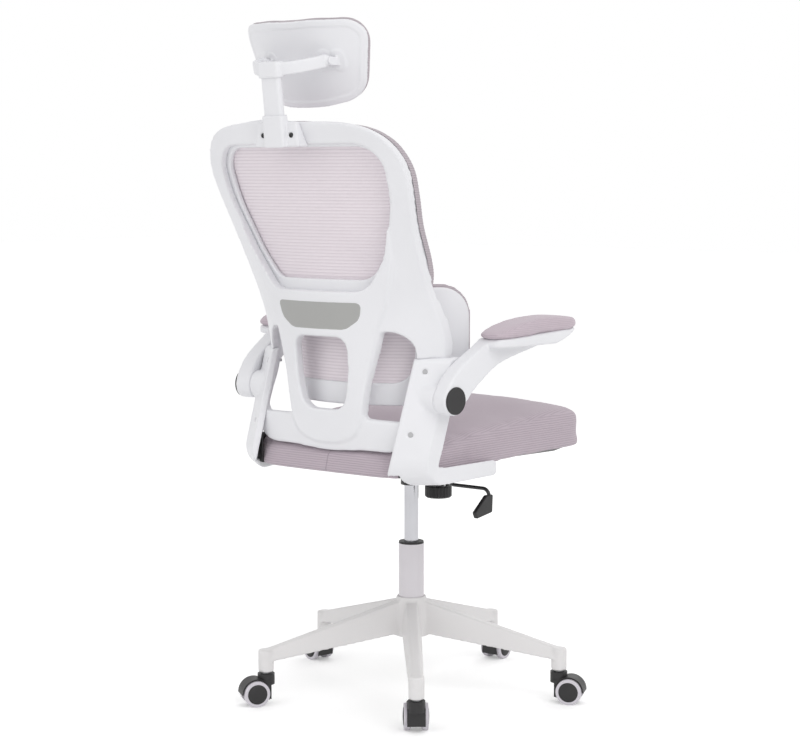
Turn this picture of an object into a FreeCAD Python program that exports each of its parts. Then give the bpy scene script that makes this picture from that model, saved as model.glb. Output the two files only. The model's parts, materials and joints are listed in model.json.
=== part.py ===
import FreeCAD, Part
import math
import os

import Sketcher
from FreeCAD import Placement, Rotation, Vector

# Mesh office chair with headrest, flip-up arms, gas lift and five twin-wheel casters.
# Millimetres. The origin is on the floor under the gas lift, +Z is up, the sitter faces -Y,
# and the sitter's right side is -X.

doc = FreeCAD.newDocument("mesh_office_chair")

SIZES = {
    # Five-star base
    "leg_count": 5,
    "leg_turn": 56.67,
    "stem_circle": 298,
    "leg_root": 20,
    "root_low": 122,
    "root_high": 186,
    "root_wide": 40,
    "root_narrow": 24,
    "tip_low": 84,
    "tip_high": 107,
    "tip_wide": 30,
    "tip_narrow": 18,
    "leg_wall": 4,
    "socket_radius": 15,
    "socket_low": 64.5,
    "hub_low": 114,
    "hub_high": 192,
    "hub_radius": 37,
    "hub_collar": 30,
    # Gas lift
    "column_radius": 25,
    "column_wall": 2,
    "column_low": 112,
    "column_high": 297,
    "bush_low": 237,
    "bush_flange": 4,
    "cylinder_radius": 14,
    "cylinder_wall": 2,
    "cylinder_low": 230,
    "cylinder_high": 452,
    "rod_radius": 5,
    "rod_low": 106,
    "piston_low": 245,
    "piston_thick": 12,
    "valve_radius": 4,
    "valve_low": 446,
    "valve_high": 456.6,
    "running_gap": 0.05,
    # Tilt mechanism
    "chassis_half": 52,
    "chassis_wall": 3,
    "chassis_low": 434,
    "tilt_y": -30,
    "tilt_z": 450,
    "tilt_pin_radius": 6,
    "plate_low": 474,
    "plate_thick": 3,
    "plate_half": 95,
    "knob_y": -90,
    "knob_radius": 27,
    "knob_low": 376,
    "knob_high": 400,
    "knob_ridges": 24,
    "lever_radius": 3.5,
    "lever_inner_z": 460.6,
    "lever_outer_z": 422,
    "lever_reach": 185,
    # Seat
    "seat_half_front": 252,
    "seat_half_rear": 204,
    "seat_front": 242,
    "seat_rear": 264,
    "seat_low_front": 486,
    "seat_low_rear": 474,
    "seat_crown": 559,
    "pan_thick": 10,
    "bolt_x": 75,
    "bolt_front": -115,
    "bolt_rear": 70,
    "bolt_radius": 3,
    # Arms and their brackets
    "pivot_x": 238,
    "pivot_y": 205,
    "pivot_z": 615,
    "arm_splay": 7,
    "arm_hub_radius": 27,
    "arm_hub_half": 15.7,
    "arm_beam_width": 34,
    "arm_pad_length": 240,
    "arm_pad_width": 70,
    "arm_pad_offset": 16,
    "pivot_pin_radius": 6,
    "bracket_thick": 14,
    "bracket_top": 688,
    "bracket_low": 456,
    # Back
    "back_thick": 16,
    "spine_raise": 5,
    "ring_thick": 9,
    "mesh_thick": 2.4,
    "back_top": 1114,
    "crossbar_low": 511,
    # Lumbar support
    "lumbar_radius": 230,
    "lumbar_rear": 235,
    "lumbar_half": 209,
    "lumbar_low": 604,
    "lumbar_high": 813,
    "lumbar_thick": 7,
    "lumbar_pad": 13,
    # Headrest
    "head_half_top": 144,
    "head_half_low": 112,
    "head_height": 155,
    "head_middle": 1213,
    "head_radius": 225,
    "head_rear": 343,
    "head_lean": 23,
    "head_shell": 6,
    "head_pad": 24,
    "head_pivot_x": 72,
    "head_pivot_y": 347,
    "head_pivot_z": 1217,
    "head_yoke_lean": 14,
    "head_yoke_tall": 21,
    "head_yoke_thick": 10,
    "head_crown": 14,
    "head_stem_wide": 41,
    "head_stem_deep": 13,
    "head_stem_y": 402,
    "head_stem_z": 1118,
    "head_stem_lean": 7,
    # Casters
    "wheel_radius": 25,
    "wheel_wide": 14,
    "wheel_inner": 10.3,
    "caster_trail": 23,
    "axle_radius": 4,
    "stem_radius": 5.5,
    "neck_radius": 16.5,
    "neck_high": 60.9,
    "fender_radius": 28.5,
    "fender_wall": 2,
    "fender_half": 17,
}

# Plan sections of the back, from the crossbar up: height, rear face on the centre line, half width,
# and how far the side edges wrap forward of the centre line
BACK_SECTIONS = [
    (500, 257, 186, 8),
    (560, 263, 186, 20),
    (610, 270, 195, 50),
    (663, 277, 200, 90),
    (729, 284, 211, 104),
    (786, 293, 205, 84),
    (865, 309, 208, 60),
    (930, 331, 214, 50),
    (1020, 357, 226, 38),
    (1075, 374, 227, 32),
    (1125, 389, 227, 28),
]
for number, section in enumerate(BACK_SECTIONS):
    for word, value in zip(("height", "spine", "half", "wrap"), section):
        SIZES[f"back_{word}_{number}"] = value

sheet = doc.addObject("Spreadsheet::Sheet", "Sizes")
for row, (alias, value) in enumerate(SIZES.items(), start=1):
    sheet.set(f"A{row}", alias)
    sheet.set(f"B{row}", str(value))
    sheet.setAlias(f"B{row}", alias)
doc.recompute()

X_AXIS, Y_AXIS, Z_AXIS = Vector(1, 0, 0), Vector(0, 1, 0), Vector(0, 0, 1)
NODES = []


def size(alias):
    """Read one driving dimension from the sheet."""
    return float(sheet.get(alias))


def sized(expression):
    """Write an expression of sheet names as one that other objects can use."""
    words = []
    for word in expression.split():
        words.append(f"Sizes.{word}" if word in SIZES else word)
    return " ".join(words)


def value_of(expression):
    """Work out an expression of sheet names."""
    return float(sheet.evalExpression(sized(expression)))


def node(obj, label):
    """Name a finished sub-part and list it for export."""
    obj.Label = label
    NODES.append(obj)
    return obj


def feature(name, shape, where=None):
    """Hold a shape made from curves and surfaces, moved as one into a given frame."""
    obj = doc.addObject("Part::Feature", name)
    obj.Shape = shape
    if where is not None:
        obj.Placement = where.multiply(shape.Placement)
    return obj


def place(obj, x="0", y="0", z="0", axis=Z_AXIS, angle=0):
    """Put an object at sheet positions, turned about an axis."""
    obj.Placement = Placement(Vector(), Rotation(axis, angle))
    for name, expression in (("x", x), ("y", y), ("z", z)):
        obj.setExpression(f"Placement.Base.{name}", sized(expression))
    return obj


def cylinder(name, radius, height):
    obj = doc.addObject("Part::Cylinder", name)
    obj.setExpression("Radius", sized(radius))
    obj.setExpression("Height", sized(height))
    return obj


def joined(name, pieces):
    obj = doc.addObject("Part::MultiFuse", name)
    obj.Shapes = pieces
    obj.Refine = True
    return obj


def group(name, pieces):
    obj = doc.addObject("Part::Compound", name)
    obj.Links = pieces
    return obj


def mirrored(name, source):
    """Copy a right-hand piece to the left of the chair."""
    obj = doc.addObject("Part::Mirroring", name)
    obj.Source = source
    obj.Normal = X_AXIS
    obj.Base = Vector()
    return obj


def new_body(name):
    return doc.addObject("PartDesign::Body", name)


def new_sketch(body, name, role, offset="0"):
    """Start a sketch on one of the body's own planes, moved out along its normal."""
    sketch = body.newObject("Sketcher::SketchObject", name)
    plane = next(item for item in body.Origin.OriginFeatures if item.Role == role)
    sketch.AttachmentSupport = [(plane, "")]
    sketch.MapMode = "FlatFace"
    sketch.setExpression("AttachmentOffset.Base.z", sized(offset))
    return sketch


def pin_point(sketch, geometry, point, x, y):
    """Tie a sketch point to sheet positions measured from the origin."""
    for kind, axis, expression in (("DistanceX", -2, x), ("DistanceY", -1, y)):
        distance = value_of(expression)
        if distance == 0:
            sketch.addConstraint(Sketcher.Constraint("PointOnObject", geometry, point, axis))
            continue
        index = sketch.addConstraint(Sketcher.Constraint(kind, -1, 1, geometry, point, distance))
        sketch.setExpression(f"Constraints[{index}]", sized(expression))


def outline(sketch, corners):
    """Draw a closed outline of straight sides through corners given as sheet expressions."""
    points = [Vector(value_of(x), value_of(y), 0) for x, y in corners]
    first = sketch.GeometryCount
    count = len(points)
    for index in range(count):
        sketch.addGeometry(Part.LineSegment(points[index], points[(index + 1) % count]))
    for index in range(count):
        following = first + (index + 1) % count
        sketch.addConstraint(Sketcher.Constraint("Coincident", first + index, 2, following, 1))
    for index, (x, y) in enumerate(corners):
        pin_point(sketch, first + index, 1, x, y)


def circle(sketch, x, y, radius):
    centre = Vector(value_of(x), value_of(y), 0)
    index = sketch.addGeometry(Part.Circle(centre, Z_AXIS, value_of(radius)))
    if centre.Length == 0:
        sketch.addConstraint(Sketcher.Constraint("Coincident", index, 3, -1, 1))
    else:
        pin_point(sketch, index, 3, x, y)
    constraint = sketch.addConstraint(Sketcher.Constraint("Radius", index, value_of(radius)))
    sketch.setExpression(f"Constraints[{constraint}]", sized(radius))


def pad(body, name, sketch, length, midplane=False, pocket=False, backwards=False):
    """Raise or cut a sketch by a sheet length."""
    kind = "PartDesign::Pocket" if pocket else "PartDesign::Pad"
    obj = body.newObject(kind, name)
    obj.Profile = sketch
    obj.setExpression("Length", sized(length))
    obj.Midplane = midplane
    obj.Reversed = backwards
    return obj


def turned(name, corners):
    """Make a body of revolution about Z from (radius, height) corners."""
    body = new_body(name)
    sketch = new_sketch(body, f"{name}_profile", "XZ_Plane")
    outline(sketch, corners)
    spin = body.newObject("PartDesign::Revolution", f"{name}_spin")
    spin.Profile = sketch
    spin.ReferenceAxis = (sketch, ["V_Axis"])
    spin.Angle = 360
    return body


def smooth_loop(points):
    """Closed smooth curve through points."""
    curve = Part.BSplineCurve()
    curve.interpolate(points, PeriodicFlag=True)
    return Part.Wire(curve.toShape())


def mirrored_loop(half):
    """Closed smooth curve in the XZ plane from the points of its right half, top to bottom."""
    right = [Vector(-x, 0, z) for x, z in half]
    left = [Vector(x, 0, z) for x, z in reversed(half) if x != 0]
    return smooth_loop(right + left)


def rounded_loop(corners):
    """Closed outline of straight sides in the XZ plane, each corner rounded to its own radius."""
    edges = []
    count = len(corners)
    points = [Vector(x, 0, z) for x, z, radius in corners]
    start = None
    for index in range(count):
        before, corner, after = points[index - 1], points[index], points[(index + 1) % count]
        into = (corner - before).normalize()
        away = (after - corner).normalize()
        half_turn = into.getAngle(away) / 2
        inset = corners[index][2] * math.tan(half_turn)
        first, last = corner - into * inset, corner + away * inset
        toward = (away - into).normalize()
        middle = corner + toward * corners[index][2] * (1 / math.cos(half_turn) - 1)
        if start is None:
            opening = first
        else:
            edges.append(Part.LineSegment(start, first).toShape())
        edges.append(Part.Arc(first, middle, last).toShape())
        start = last
    edges.append(Part.LineSegment(start, opening).toShape())
    return Part.Wire(edges)


def rounded_mirror(half):
    """Rounded outline from the corners of its right half, top to bottom."""
    left = [(x, z, radius) for x, z, radius in reversed(half)]
    return rounded_loop([(-x, z, radius) for x, z, radius in half] + left)


def prism(wire, start, end):
    """Solid between two depths from an outline drawn in the XZ plane."""
    face = Part.Face(wire)
    face.translate(Vector(0, start, 0))
    return face.extrude(Vector(0, end - start, 0))


# Five-star base: tapered legs, open underneath, with a caster socket at each tip
def five_star_base():
    body = new_body("star")
    hub = new_sketch(body, "hub_profile", "XZ_Plane")
    outline(hub, [
        ("0", "hub_low"),
        ("hub_radius", "hub_low"),
        ("hub_radius", "hub_high - 36"),
        ("hub_collar", "hub_high - 6"),
        ("hub_collar - 1", "hub_high"),
        ("0", "hub_high"),
    ])
    spin = body.newObject("PartDesign::Revolution", "hub_spin")
    spin.Profile = hub
    spin.ReferenceAxis = (hub, ["V_Axis"])
    spin.Angle = 360

    def section(name, reach, low, high, wide, narrow):
        sketch = new_sketch(body, name, "YZ_Plane", reach)
        outline(sketch, [
            (f"- {wide} / 2", low),
            (f"{wide} / 2", low),
            (f"{narrow} / 2", high),
            (f"- {narrow} / 2", high),
        ])
        return sketch

    root = section("leg_root_section", "leg_root", "root_low", "root_high", "root_wide", "root_narrow")
    tip = section("leg_tip_section", "stem_circle", "tip_low", "tip_high", "tip_wide", "tip_narrow")
    leg = body.newObject("PartDesign::AdditiveLoft", "leg")
    leg.Profile = root
    leg.Sections = [tip]
    leg.Ruled = True

    socket_sketch = new_sketch(body, "socket_circle", "XY_Plane", "socket_low")
    circle(socket_sketch, "stem_circle", "0", "socket_radius")
    socket = pad(body, "socket", socket_sketch, "tip_high - socket_low")

    inner_root = section(
        "channel_root_section", "hub_radius + 8", "root_low - 12", "root_high - 22",
        "( root_wide - 3 * leg_wall )", "( root_narrow - 2 * leg_wall )",
    )
    inner_tip = section(
        "channel_tip_section", "stem_circle - socket_radius - 6", "tip_low - 8", "tip_high - 6",
        "( tip_wide - 2 * leg_wall )", "( tip_narrow - 2 * leg_wall )",
    )
    channel = body.newObject("PartDesign::SubtractiveLoft", "leg_channel")
    channel.Profile = inner_root
    channel.Sections = [inner_tip]
    channel.Ruled = True

    hole_sketch = new_sketch(body, "stem_hole_circle", "XY_Plane", "socket_low")
    circle(hole_sketch, "stem_circle", "0", "stem_radius + 0.02")
    hole = pad(body, "stem_hole", hole_sketch, "34", pocket=True, backwards=True)

    star = body.newObject("PartDesign::PolarPattern", "five_legs")
    star.Originals = [leg, socket, channel, hole]
    star.Axis = (hub, ["V_Axis"])
    star.Angle = 360
    star.setExpression("Occurrences", "Sizes.leg_count")
    body.Tip = star

    bore_sketch = new_sketch(body, "column_bore_circle", "XY_Plane", "hub_low - 10")
    circle(bore_sketch, "0", "0", "column_radius + running_gap")
    bore = pad(body, "column_bore", bore_sketch, "hub_high", pocket=True, backwards=True)
    body.Tip = bore
    node(body, "five_star_base")
    body.setExpression("Placement.Rotation.Angle", "Sizes.leg_turn")


def leg_place(number):
    """Place and direction of one caster stem."""
    angle = size("leg_turn") + number * 360 / size("leg_count")
    turn = math.radians(angle)
    reach = size("stem_circle")
    return Vector(reach * math.cos(turn), reach * math.sin(turn), 0), angle


def caster_stems():
    stems = []
    for number in range(int(size("leg_count"))):
        spot, angle = leg_place(number)
        shank = cylinder(f"stem_shank_{number}", "stem_radius", "52")
        collar = cylinder(f"stem_collar_{number}", "stem_radius + 3", "socket_low - neck_high - 0.4")
        shank.Placement = Placement(spot + Vector(0, 0, size("neck_high") - 15), Rotation())
        collar.Placement = Placement(spot + Vector(0, 0, size("neck_high") + 0.3), Rotation())
        stems.append(joined(f"stem_{number}", [shank, collar]))
    node(group("stem_group", stems), "caster_stems")


# Gas lift: outer tube with its guide bush, and inside it the rod that the cylinder slides on
def gas_lift():
    node(turned("tube", [
        ("rod_radius + 2", "column_low"),
        ("column_radius - 1", "column_low"),
        ("column_radius", "column_low + 1"),
        ("column_radius", "column_high"),
        ("column_radius - column_wall", "column_high"),
        ("column_radius - column_wall", "column_low + 3"),
        ("rod_radius + 2", "column_low + 3"),
    ]), "column_tube")
    node(turned("bush", [
        ("cylinder_radius + running_gap", "bush_low"),
        ("column_radius - column_wall - running_gap", "bush_low"),
        ("column_radius - column_wall - running_gap", "column_high"),
        ("column_radius", "column_high"),
        ("column_radius - 0.8", "column_high + bush_flange"),
        ("cylinder_radius + running_gap", "column_high + bush_flange"),
    ]), "column_bush")
    node(turned("bearing", [
        ("rod_radius + 0.3", "column_low + 3"),
        ("rod_radius + 7", "column_low + 3"),
        ("rod_radius + 7", "column_low + 8"),
        ("rod_radius + 0.3", "column_low + 8"),
    ]), "thrust_bearing")
    node(turned("rod", [
        ("0", "rod_low"),
        ("rod_radius - 1", "rod_low"),
        ("rod_radius - 1", "column_low - 3.4"),
        ("rod_radius + 4", "column_low - 3.4"),
        ("rod_radius + 4", "column_low - 0.4"),
        ("rod_radius", "column_low - 0.4"),
        ("rod_radius", "column_low + 8.2"),
        ("rod_radius + 4", "column_low + 8.2"),
        ("rod_radius + 4", "column_low + 11"),
        ("rod_radius", "column_low + 11"),
        ("rod_radius", "piston_low"),
        ("cylinder_radius - cylinder_wall - running_gap", "piston_low"),
        ("cylinder_radius - cylinder_wall - running_gap", "piston_low + piston_thick"),
        ("0", "piston_low + piston_thick"),
    ]), "piston_rod")
    node(turned("cylinder", [
        ("rod_radius + running_gap", "cylinder_low"),
        ("cylinder_radius - 1", "cylinder_low"),
        ("cylinder_radius", "cylinder_low + 1"),
        ("cylinder_radius", "cylinder_high - 2"),
        ("cylinder_radius - 2", "cylinder_high"),
        ("valve_radius + running_gap", "cylinder_high"),
        ("valve_radius + running_gap", "cylinder_high - 12"),
        ("cylinder_radius - cylinder_wall", "cylinder_high - 12"),
        ("cylinder_radius - cylinder_wall", "cylinder_low + 10"),
        ("rod_radius + running_gap", "cylinder_low + 10"),
    ]), "gas_cylinder")
    node(turned("valve", [
        ("0", "valve_low"),
        ("valve_radius", "valve_low"),
        ("valve_radius", "valve_high - 1"),
        ("valve_radius - 1", "valve_high"),
        ("0", "valve_high"),
    ]), "valve_button")


# Tilt mechanism: pressed housing on the gas cylinder, seat plate rocking on one cross pin
def tilt_chassis():
    body = new_body("chassis")
    side = new_sketch(body, "chassis_side", "YZ_Plane")
    outline(side, [
        ("46", "chassis_low"),
        ("46", "tilt_z + 5.9"),
        ("tilt_y + 24", "tilt_z + 5.9"),
        ("tilt_y + 14", "tilt_z + 12"),
        ("tilt_y - 14", "tilt_z + 12"),
        ("tilt_y - 26", "tilt_z"),
        ("knob_y - 36", "tilt_z"),
        ("knob_y - 36", "chassis_low - 6"),
        ("tilt_y - 25", "chassis_low - 10"),
        ("tilt_y + 10", "chassis_low"),
    ])
    pad(body, "chassis_block", side, "2 * chassis_half", midplane=True)
    hollow = new_sketch(body, "chassis_hollow", "YZ_Plane")
    outline(hollow, [
        ("46 - chassis_wall", "chassis_low + chassis_wall"),
        ("46 - chassis_wall", "tilt_z + 30"),
        ("knob_y - 36 + chassis_wall", "tilt_z + 30"),
        ("knob_y - 36 + chassis_wall", "chassis_low - 6 + chassis_wall"),
        ("tilt_y - 25", "chassis_low - 10 + chassis_wall"),
        ("tilt_y + 10", "chassis_low + chassis_wall"),
    ])
    pad(body, "chassis_inside", hollow, "2 * ( chassis_half - chassis_wall )", midplane=True, pocket=True)
    boss = new_sketch(body, "column_boss", "XY_Plane", "chassis_low - 20")
    circle(boss, "0", "0", "cylinder_radius + 7")
    pad(body, "column_boss_pad", boss, "34")
    bore = new_sketch(body, "column_socket", "XY_Plane", "400")
    circle(bore, "0", "0", "cylinder_radius + running_gap")
    pad(body, "column_socket_cut", bore, "80", pocket=True, backwards=True)
    slot = new_sketch(body, "bolt_slot", "XY_Plane", "400")
    outline(slot, [
        ("- 9", "knob_y - 17"),
        ("9", "knob_y - 17"),
        ("9", "knob_y + 9"),
        ("- 9", "knob_y + 9"),
    ])
    pad(body, "bolt_slot_cut", slot, "40", pocket=True, backwards=True)
    pin_hole = new_sketch(body, "tilt_hole", "YZ_Plane")
    circle(pin_hole, "tilt_y", "tilt_z", "tilt_pin_radius + 0.02")
    pad(body, "tilt_hole_cut", pin_hole, "4 * chassis_half", midplane=True, pocket=True)
    node(body, "tilt_chassis")


def tilt_pin():
    shaft = cylinder("tilt_shaft", "tilt_pin_radius", "2 * chassis_half + 18")
    place(shaft, "- chassis_half - 9", "tilt_y", "tilt_z", Y_AXIS, 90)
    heads = []
    for name, x in (("left", "chassis_half + 9"), ("right", "- chassis_half - 12")):
        head = cylinder(f"tilt_head_{name}", "tilt_pin_radius + 3", "3")
        heads.append(place(head, x, "tilt_y", "tilt_z", Y_AXIS, 90))
    node(joined("tilt_pin_whole", [shaft] + heads), "tilt_pin")


def seat_plate():
    body = new_body("plate")
    sketch = new_sketch(body, "plate_outline", "XY_Plane", "plate_low")
    outline(sketch, [
        ("plate_half", "- 120"),
        ("plate_half", "85"),
        ("plate_half - 20", "95"),
        ("20 - plate_half", "95"),
        ("- plate_half", "85"),
        ("- plate_half", "- 120"),
        ("20 - plate_half", "- 150"),
        ("plate_half - 20", "- 150"),
    ])
    pad(body, "plate_sheet", sketch, "plate_thick")
    for name, x in (("left", "chassis_half + 3"), ("right", "- chassis_half - 6.5")):
        ear = new_sketch(body, f"ear_{name}", "YZ_Plane", x)
        outline(ear, [
            ("tilt_y - 30", "plate_low + 0.5"),
            ("tilt_y - 12", "tilt_z - 12"),
            ("tilt_y + 12", "tilt_z - 12"),
            ("tilt_y + 15", "plate_low + 0.5"),
        ])
        pad(body, f"ear_{name}_pad", ear, "3.5")
    hole = new_sketch(body, "ear_hole", "YZ_Plane")
    circle(hole, "tilt_y", "tilt_z", "tilt_pin_radius + running_gap")
    pad(body, "ear_hole_cut", hole, "4 * chassis_half", midplane=True, pocket=True)
    holes = new_sketch(body, "bolt_holes", "XY_Plane", "plate_low")
    for x in ("bolt_x", "- bolt_x"):
        for y in ("bolt_front", "bolt_rear"):
            circle(holes, x, y, "bolt_radius + running_gap")
    pad(body, "bolt_holes_cut", holes, "4 * plate_thick", midplane=True, pocket=True)
    node(body, "seat_plate")


def tension_parts():
    shank = cylinder("tension_shank", "rod_radius", "plate_low - knob_low + 3")
    place(shank, "0", "knob_y", "knob_low - 3")
    node(shank, "tension_bolt")

    body = turned("knob", [
        ("rod_radius + running_gap", "knob_low"),
        ("knob_radius - 3", "knob_low"),
        ("knob_radius", "knob_low + 3"),
        ("knob_radius", "knob_high - 2"),
        ("knob_radius - 2", "knob_high"),
        ("knob_radius - 6", "knob_high"),
        ("knob_radius - 6", "knob_low + 8"),
        ("rod_radius + running_gap", "knob_low + 8"),
    ])
    flute_sketch = new_sketch(body, "knob_flute", "XY_Plane", "knob_low + 2")
    circle(flute_sketch, "knob_radius + 0.6", "0", "1.8")
    flute = pad(body, "knob_flute_cut", flute_sketch, "60", pocket=True, backwards=True)
    ridges = body.newObject("PartDesign::PolarPattern", "knob_ridges")
    ridges.Originals = [flute]
    ridges.Axis = (flute_sketch, ["N_Axis"])
    ridges.Angle = 360
    ridges.setExpression("Occurrences", "Sizes.knob_ridges")
    body.Tip = ridges
    node(body, "tension_knob")
    place(body, "0", "knob_y")

    node(feature("spring", tension_spring_shape()), "tension_spring")


def tension_spring_shape():
    """Helical wire between knob and housing, as half-turn arcs that climb at a steady rate."""
    wire_radius = 1.6
    coil_radius = 13
    half_turns = 9
    low = size("knob_low") + 8.4 + wire_radius
    high = 424.4 - wire_radius
    climb = (high - low) / half_turns

    def point(halves):
        turn = math.pi * halves
        offset = Vector(coil_radius * math.cos(turn), coil_radius * math.sin(turn), climb * halves)
        return Vector(0, size("knob_y"), low) + offset

    arcs = []
    for index in range(2 * half_turns):
        start, middle, end = (point(index / 2 + step) for step in (0, 0.25, 0.5))
        arcs.append(Part.Arc(start, middle, end).toShape())
    path = Part.Wire(arcs)
    ring = Part.Circle(point(0), arcs[0].tangentAt(arcs[0].FirstParameter), wire_radius)
    spring = path.makePipeShell([Part.Wire(ring.toShape())], True, False)
    gap = 2 * climb - 2 * wire_radius
    print(f"tension spring: least gap between turns {gap:.2f} mm")
    return spring


def height_lever():
    """Cranked rod from the valve, over the housing wall and out to the sitter's right."""
    inner, outer = size("lever_inner_z"), size("lever_outer_z")
    reach = size("lever_reach")
    bend = 14
    drop_start, drop_end = -size("chassis_half") - 10, -size("chassis_half") - 46
    corners = [
        Vector(3, 0, inner),
        Vector(drop_start, 0, inner),
        Vector(drop_end, 0, outer),
        Vector(-reach, 0, outer),
        Vector(-reach, 0, outer - 24),
    ]
    edges = []
    start = corners[0]
    for before, corner, after in zip(corners, corners[1:], corners[2:]):
        into = (corner - before).normalize()
        away = (after - corner).normalize()
        half_turn = into.getAngle(away) / 2
        inset = bend * math.tan(half_turn)
        first, last = corner - into * inset, corner + away * inset
        toward = (away - into).normalize()
        middle = corner + toward * (bend / math.cos(half_turn) - bend)
        edges.append(Part.LineSegment(start, first).toShape())
        edges.append(Part.Arc(first, middle, last).toShape())
        start = last
    edges.append(Part.LineSegment(start, corners[-1]).toShape())
    ring = Part.Circle(corners[0], X_AXIS, size("lever_radius"))
    rod = Part.Wire(edges).makePipeShell([Part.Wire(ring.toShape())], True, False)
    node(feature("lever", rod), "lever_rod")

    top = outer - 11
    face = Part.Face(Part.makePolygon([
        Vector(0, -8, top),
        Vector(0, 12, top),
        Vector(0, 50, top - 28),
        Vector(0, 44, top - 40),
        Vector(0, -6, top - 34),
        Vector(0, -8, top),
    ]))
    paddle = face.extrude(Vector(-9, 0, 0))
    paddle = paddle.makeFillet(3, [edge for edge in paddle.Edges if abs(edge.tangentAt(0).x) > 0.9])
    paddle = paddle.makeFillet(2, paddle.Edges)
    paddle.translate(Vector(-reach + 4.5, 0, 0))
    socket = Part.makeCylinder(size("lever_radius") + 0.02, 30, Vector(-reach, 0, outer - 24))
    node(feature("paddle", paddle.cut(socket).cut(rod)), "lever_paddle")


# Seat: board, crowned cushion wrapped round its edge, and the bolts from below
def seat_block(inset, low, depth):
    """Block on the seat's plan outline, wider at the front, its sides drawn in and its corners round."""
    front_half, rear_half = size("seat_half_front") - inset, size("seat_half_rear") - inset
    front, rear = -size("seat_front") + inset, size("seat_rear") - inset
    draw_in = 3
    corners = [(-front_half, front), (front_half, front), (rear_half, rear), (-rear_half, rear)]
    middles = [
        (0, front + draw_in),
        ((front_half + rear_half) / 2 - draw_in, (front + rear) / 2),
        (0, rear + draw_in),
        (draw_in - (front_half + rear_half) / 2, (front + rear) / 2),
    ]
    sides = []
    for index, middle in enumerate(middles):
        ends = corners[index], corners[(index + 1) % 4]
        first, half_way, last = (Vector(x, y, low) for x, y in (ends[0], middle, ends[1]))
        sides.append(Part.Arc(first, half_way, last).toShape())
    block = Part.Face(Part.Wire(sides)).extrude(Vector(0, 0, depth))
    upright = [edge for edge in block.Edges if abs(edge.tangentAt(edge.FirstParameter).z) > 0.9]
    front_edges = [edge for edge in upright if edge.CenterOfMass.y < 0]
    rear_edges = [edge for edge in upright if edge.CenterOfMass.y > 0]
    block = block.makeFillet(32 - inset / 2, front_edges)
    rear_edges = [
        edge for edge in block.Edges
        if any(edge.CenterOfMass.distanceToPoint(old.CenterOfMass) < 1 for old in rear_edges)
    ]
    return block.makeFillet(92 - inset / 2, rear_edges)


def seat():
    board_low = size("plate_low") + size("plate_thick")
    board_high = board_low + size("pan_thick")
    bolt_rows = (size("bolt_front"), size("bolt_rear"))
    bolt_places = [(x, y) for x in (-size("bolt_x"), size("bolt_x")) for y in bolt_rows]
    bolt_radius, hole_radius = size("bolt_radius"), size("bolt_radius") + size("running_gap")
    board = seat_block(17, board_low, size("pan_thick"))
    for x, y in bolt_places:
        board = board.cut(Part.makeCylinder(hole_radius, 3 * size("pan_thick"), Vector(x, y, board_low - 10)))
    node(feature("pan", board), "seat_pan")

    low_rear, low_front = size("seat_low_rear"), size("seat_low_front")
    front, rear = -size("seat_front"), size("seat_rear")
    crown_radius, crown_y = 1900, -120
    crown = Part.makeSphere(crown_radius, Vector(0, crown_y, size("seat_crown") - crown_radius))
    cushion = seat_block(0, low_rear - 4, 110).common(crown)
    wedge = Part.Face(Part.makePolygon([
        Vector(-300, rear + 10, low_rear),
        Vector(-300, front - 10, low_front),
        Vector(-300, front - 10, low_rear - 8),
        Vector(-300, rear + 10, low_rear - 8),
        Vector(-300, rear + 10, low_rear),
    ])).extrude(Vector(600, 0, 0))
    cushion = cushion.cut(wedge)
    top = max(cushion.Faces, key=lambda face: face.CenterOfMass.z)
    cushion = cushion.makeFillet(20, top.Edges)
    under = min(cushion.Faces, key=lambda face: face.CenterOfMass.z)
    cushion = cushion.makeFillet(5, under.Edges)
    recess = seat_block(16.7, low_rear - 20, board_high + 20.2 - low_rear)
    crossbar_room = Part.makeBox(440, 80, 120, Vector(-220, 231, size("crossbar_low") - 1))
    rooms = [recess, crossbar_room]
    for room in (bracket_loft(bracket_room_section), bracket_foot(0.4)):
        rooms += [room, room.mirror(Vector(), X_AXIS)]
    cushion = cushion.cut(rooms)
    node(feature("cushion", cushion), "seat_cushion")

    bolts = [seat_bolt(x, y, size("plate_low"), bolt_radius) for x, y in bolt_places]
    node(feature("bolts", Part.makeCompound(bolts)), "seat_bolts")


def seat_bolt(x, y, seat_height, radius):
    """Hexagon bolt from below, its head under a given height."""
    head_reach, head_thick, length = 2 * radius, 4, 12
    head = Part.Face(Part.makePolygon([
        Vector(x + head_reach * math.cos(turn), y + head_reach * math.sin(turn), seat_height - head_thick)
        for turn in (math.radians(60 * side) for side in range(7))
    ])).extrude(Vector(0, 0, head_thick))
    return head.fuse(Part.makeCylinder(radius, length, Vector(x, y, seat_height)))


# Right arm: its frame stands on the pivot, x out along the hinge pin, y forward, z up
def arm_placement():
    spot = Vector(-size("pivot_x"), size("pivot_y"), size("pivot_z"))
    return Placement(spot, Rotation(Z_AXIS, 180 - size("arm_splay")))


def arm_plan(length, width, rear, inset):
    """Plan outline of the arm pad: nearly straight sides with round ends."""
    half = width / 2 - inset
    start, end = rear + inset, rear + length - inset
    round_rear, round_front = half * 0.7, half * 0.95
    return smooth_loop([Vector(x, y, 0) for x, y in (
        (0, start),
        (half * 0.7, start + round_rear * 0.28),
        (half * 0.97, start + round_rear * 1.2),
        (half, (start + end) / 2),
        (half * 0.95, end - round_front * 1.3),
        (half * 0.66, end - round_front * 0.35),
        (0, end),
        (-half * 0.66, end - round_front * 0.35),
        (-half * 0.95, end - round_front * 1.3),
        (-half, (start + end) / 2),
        (-half * 0.97, start + round_rear * 1.2),
        (-half * 0.7, start + round_rear * 0.28),
    )])


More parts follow.
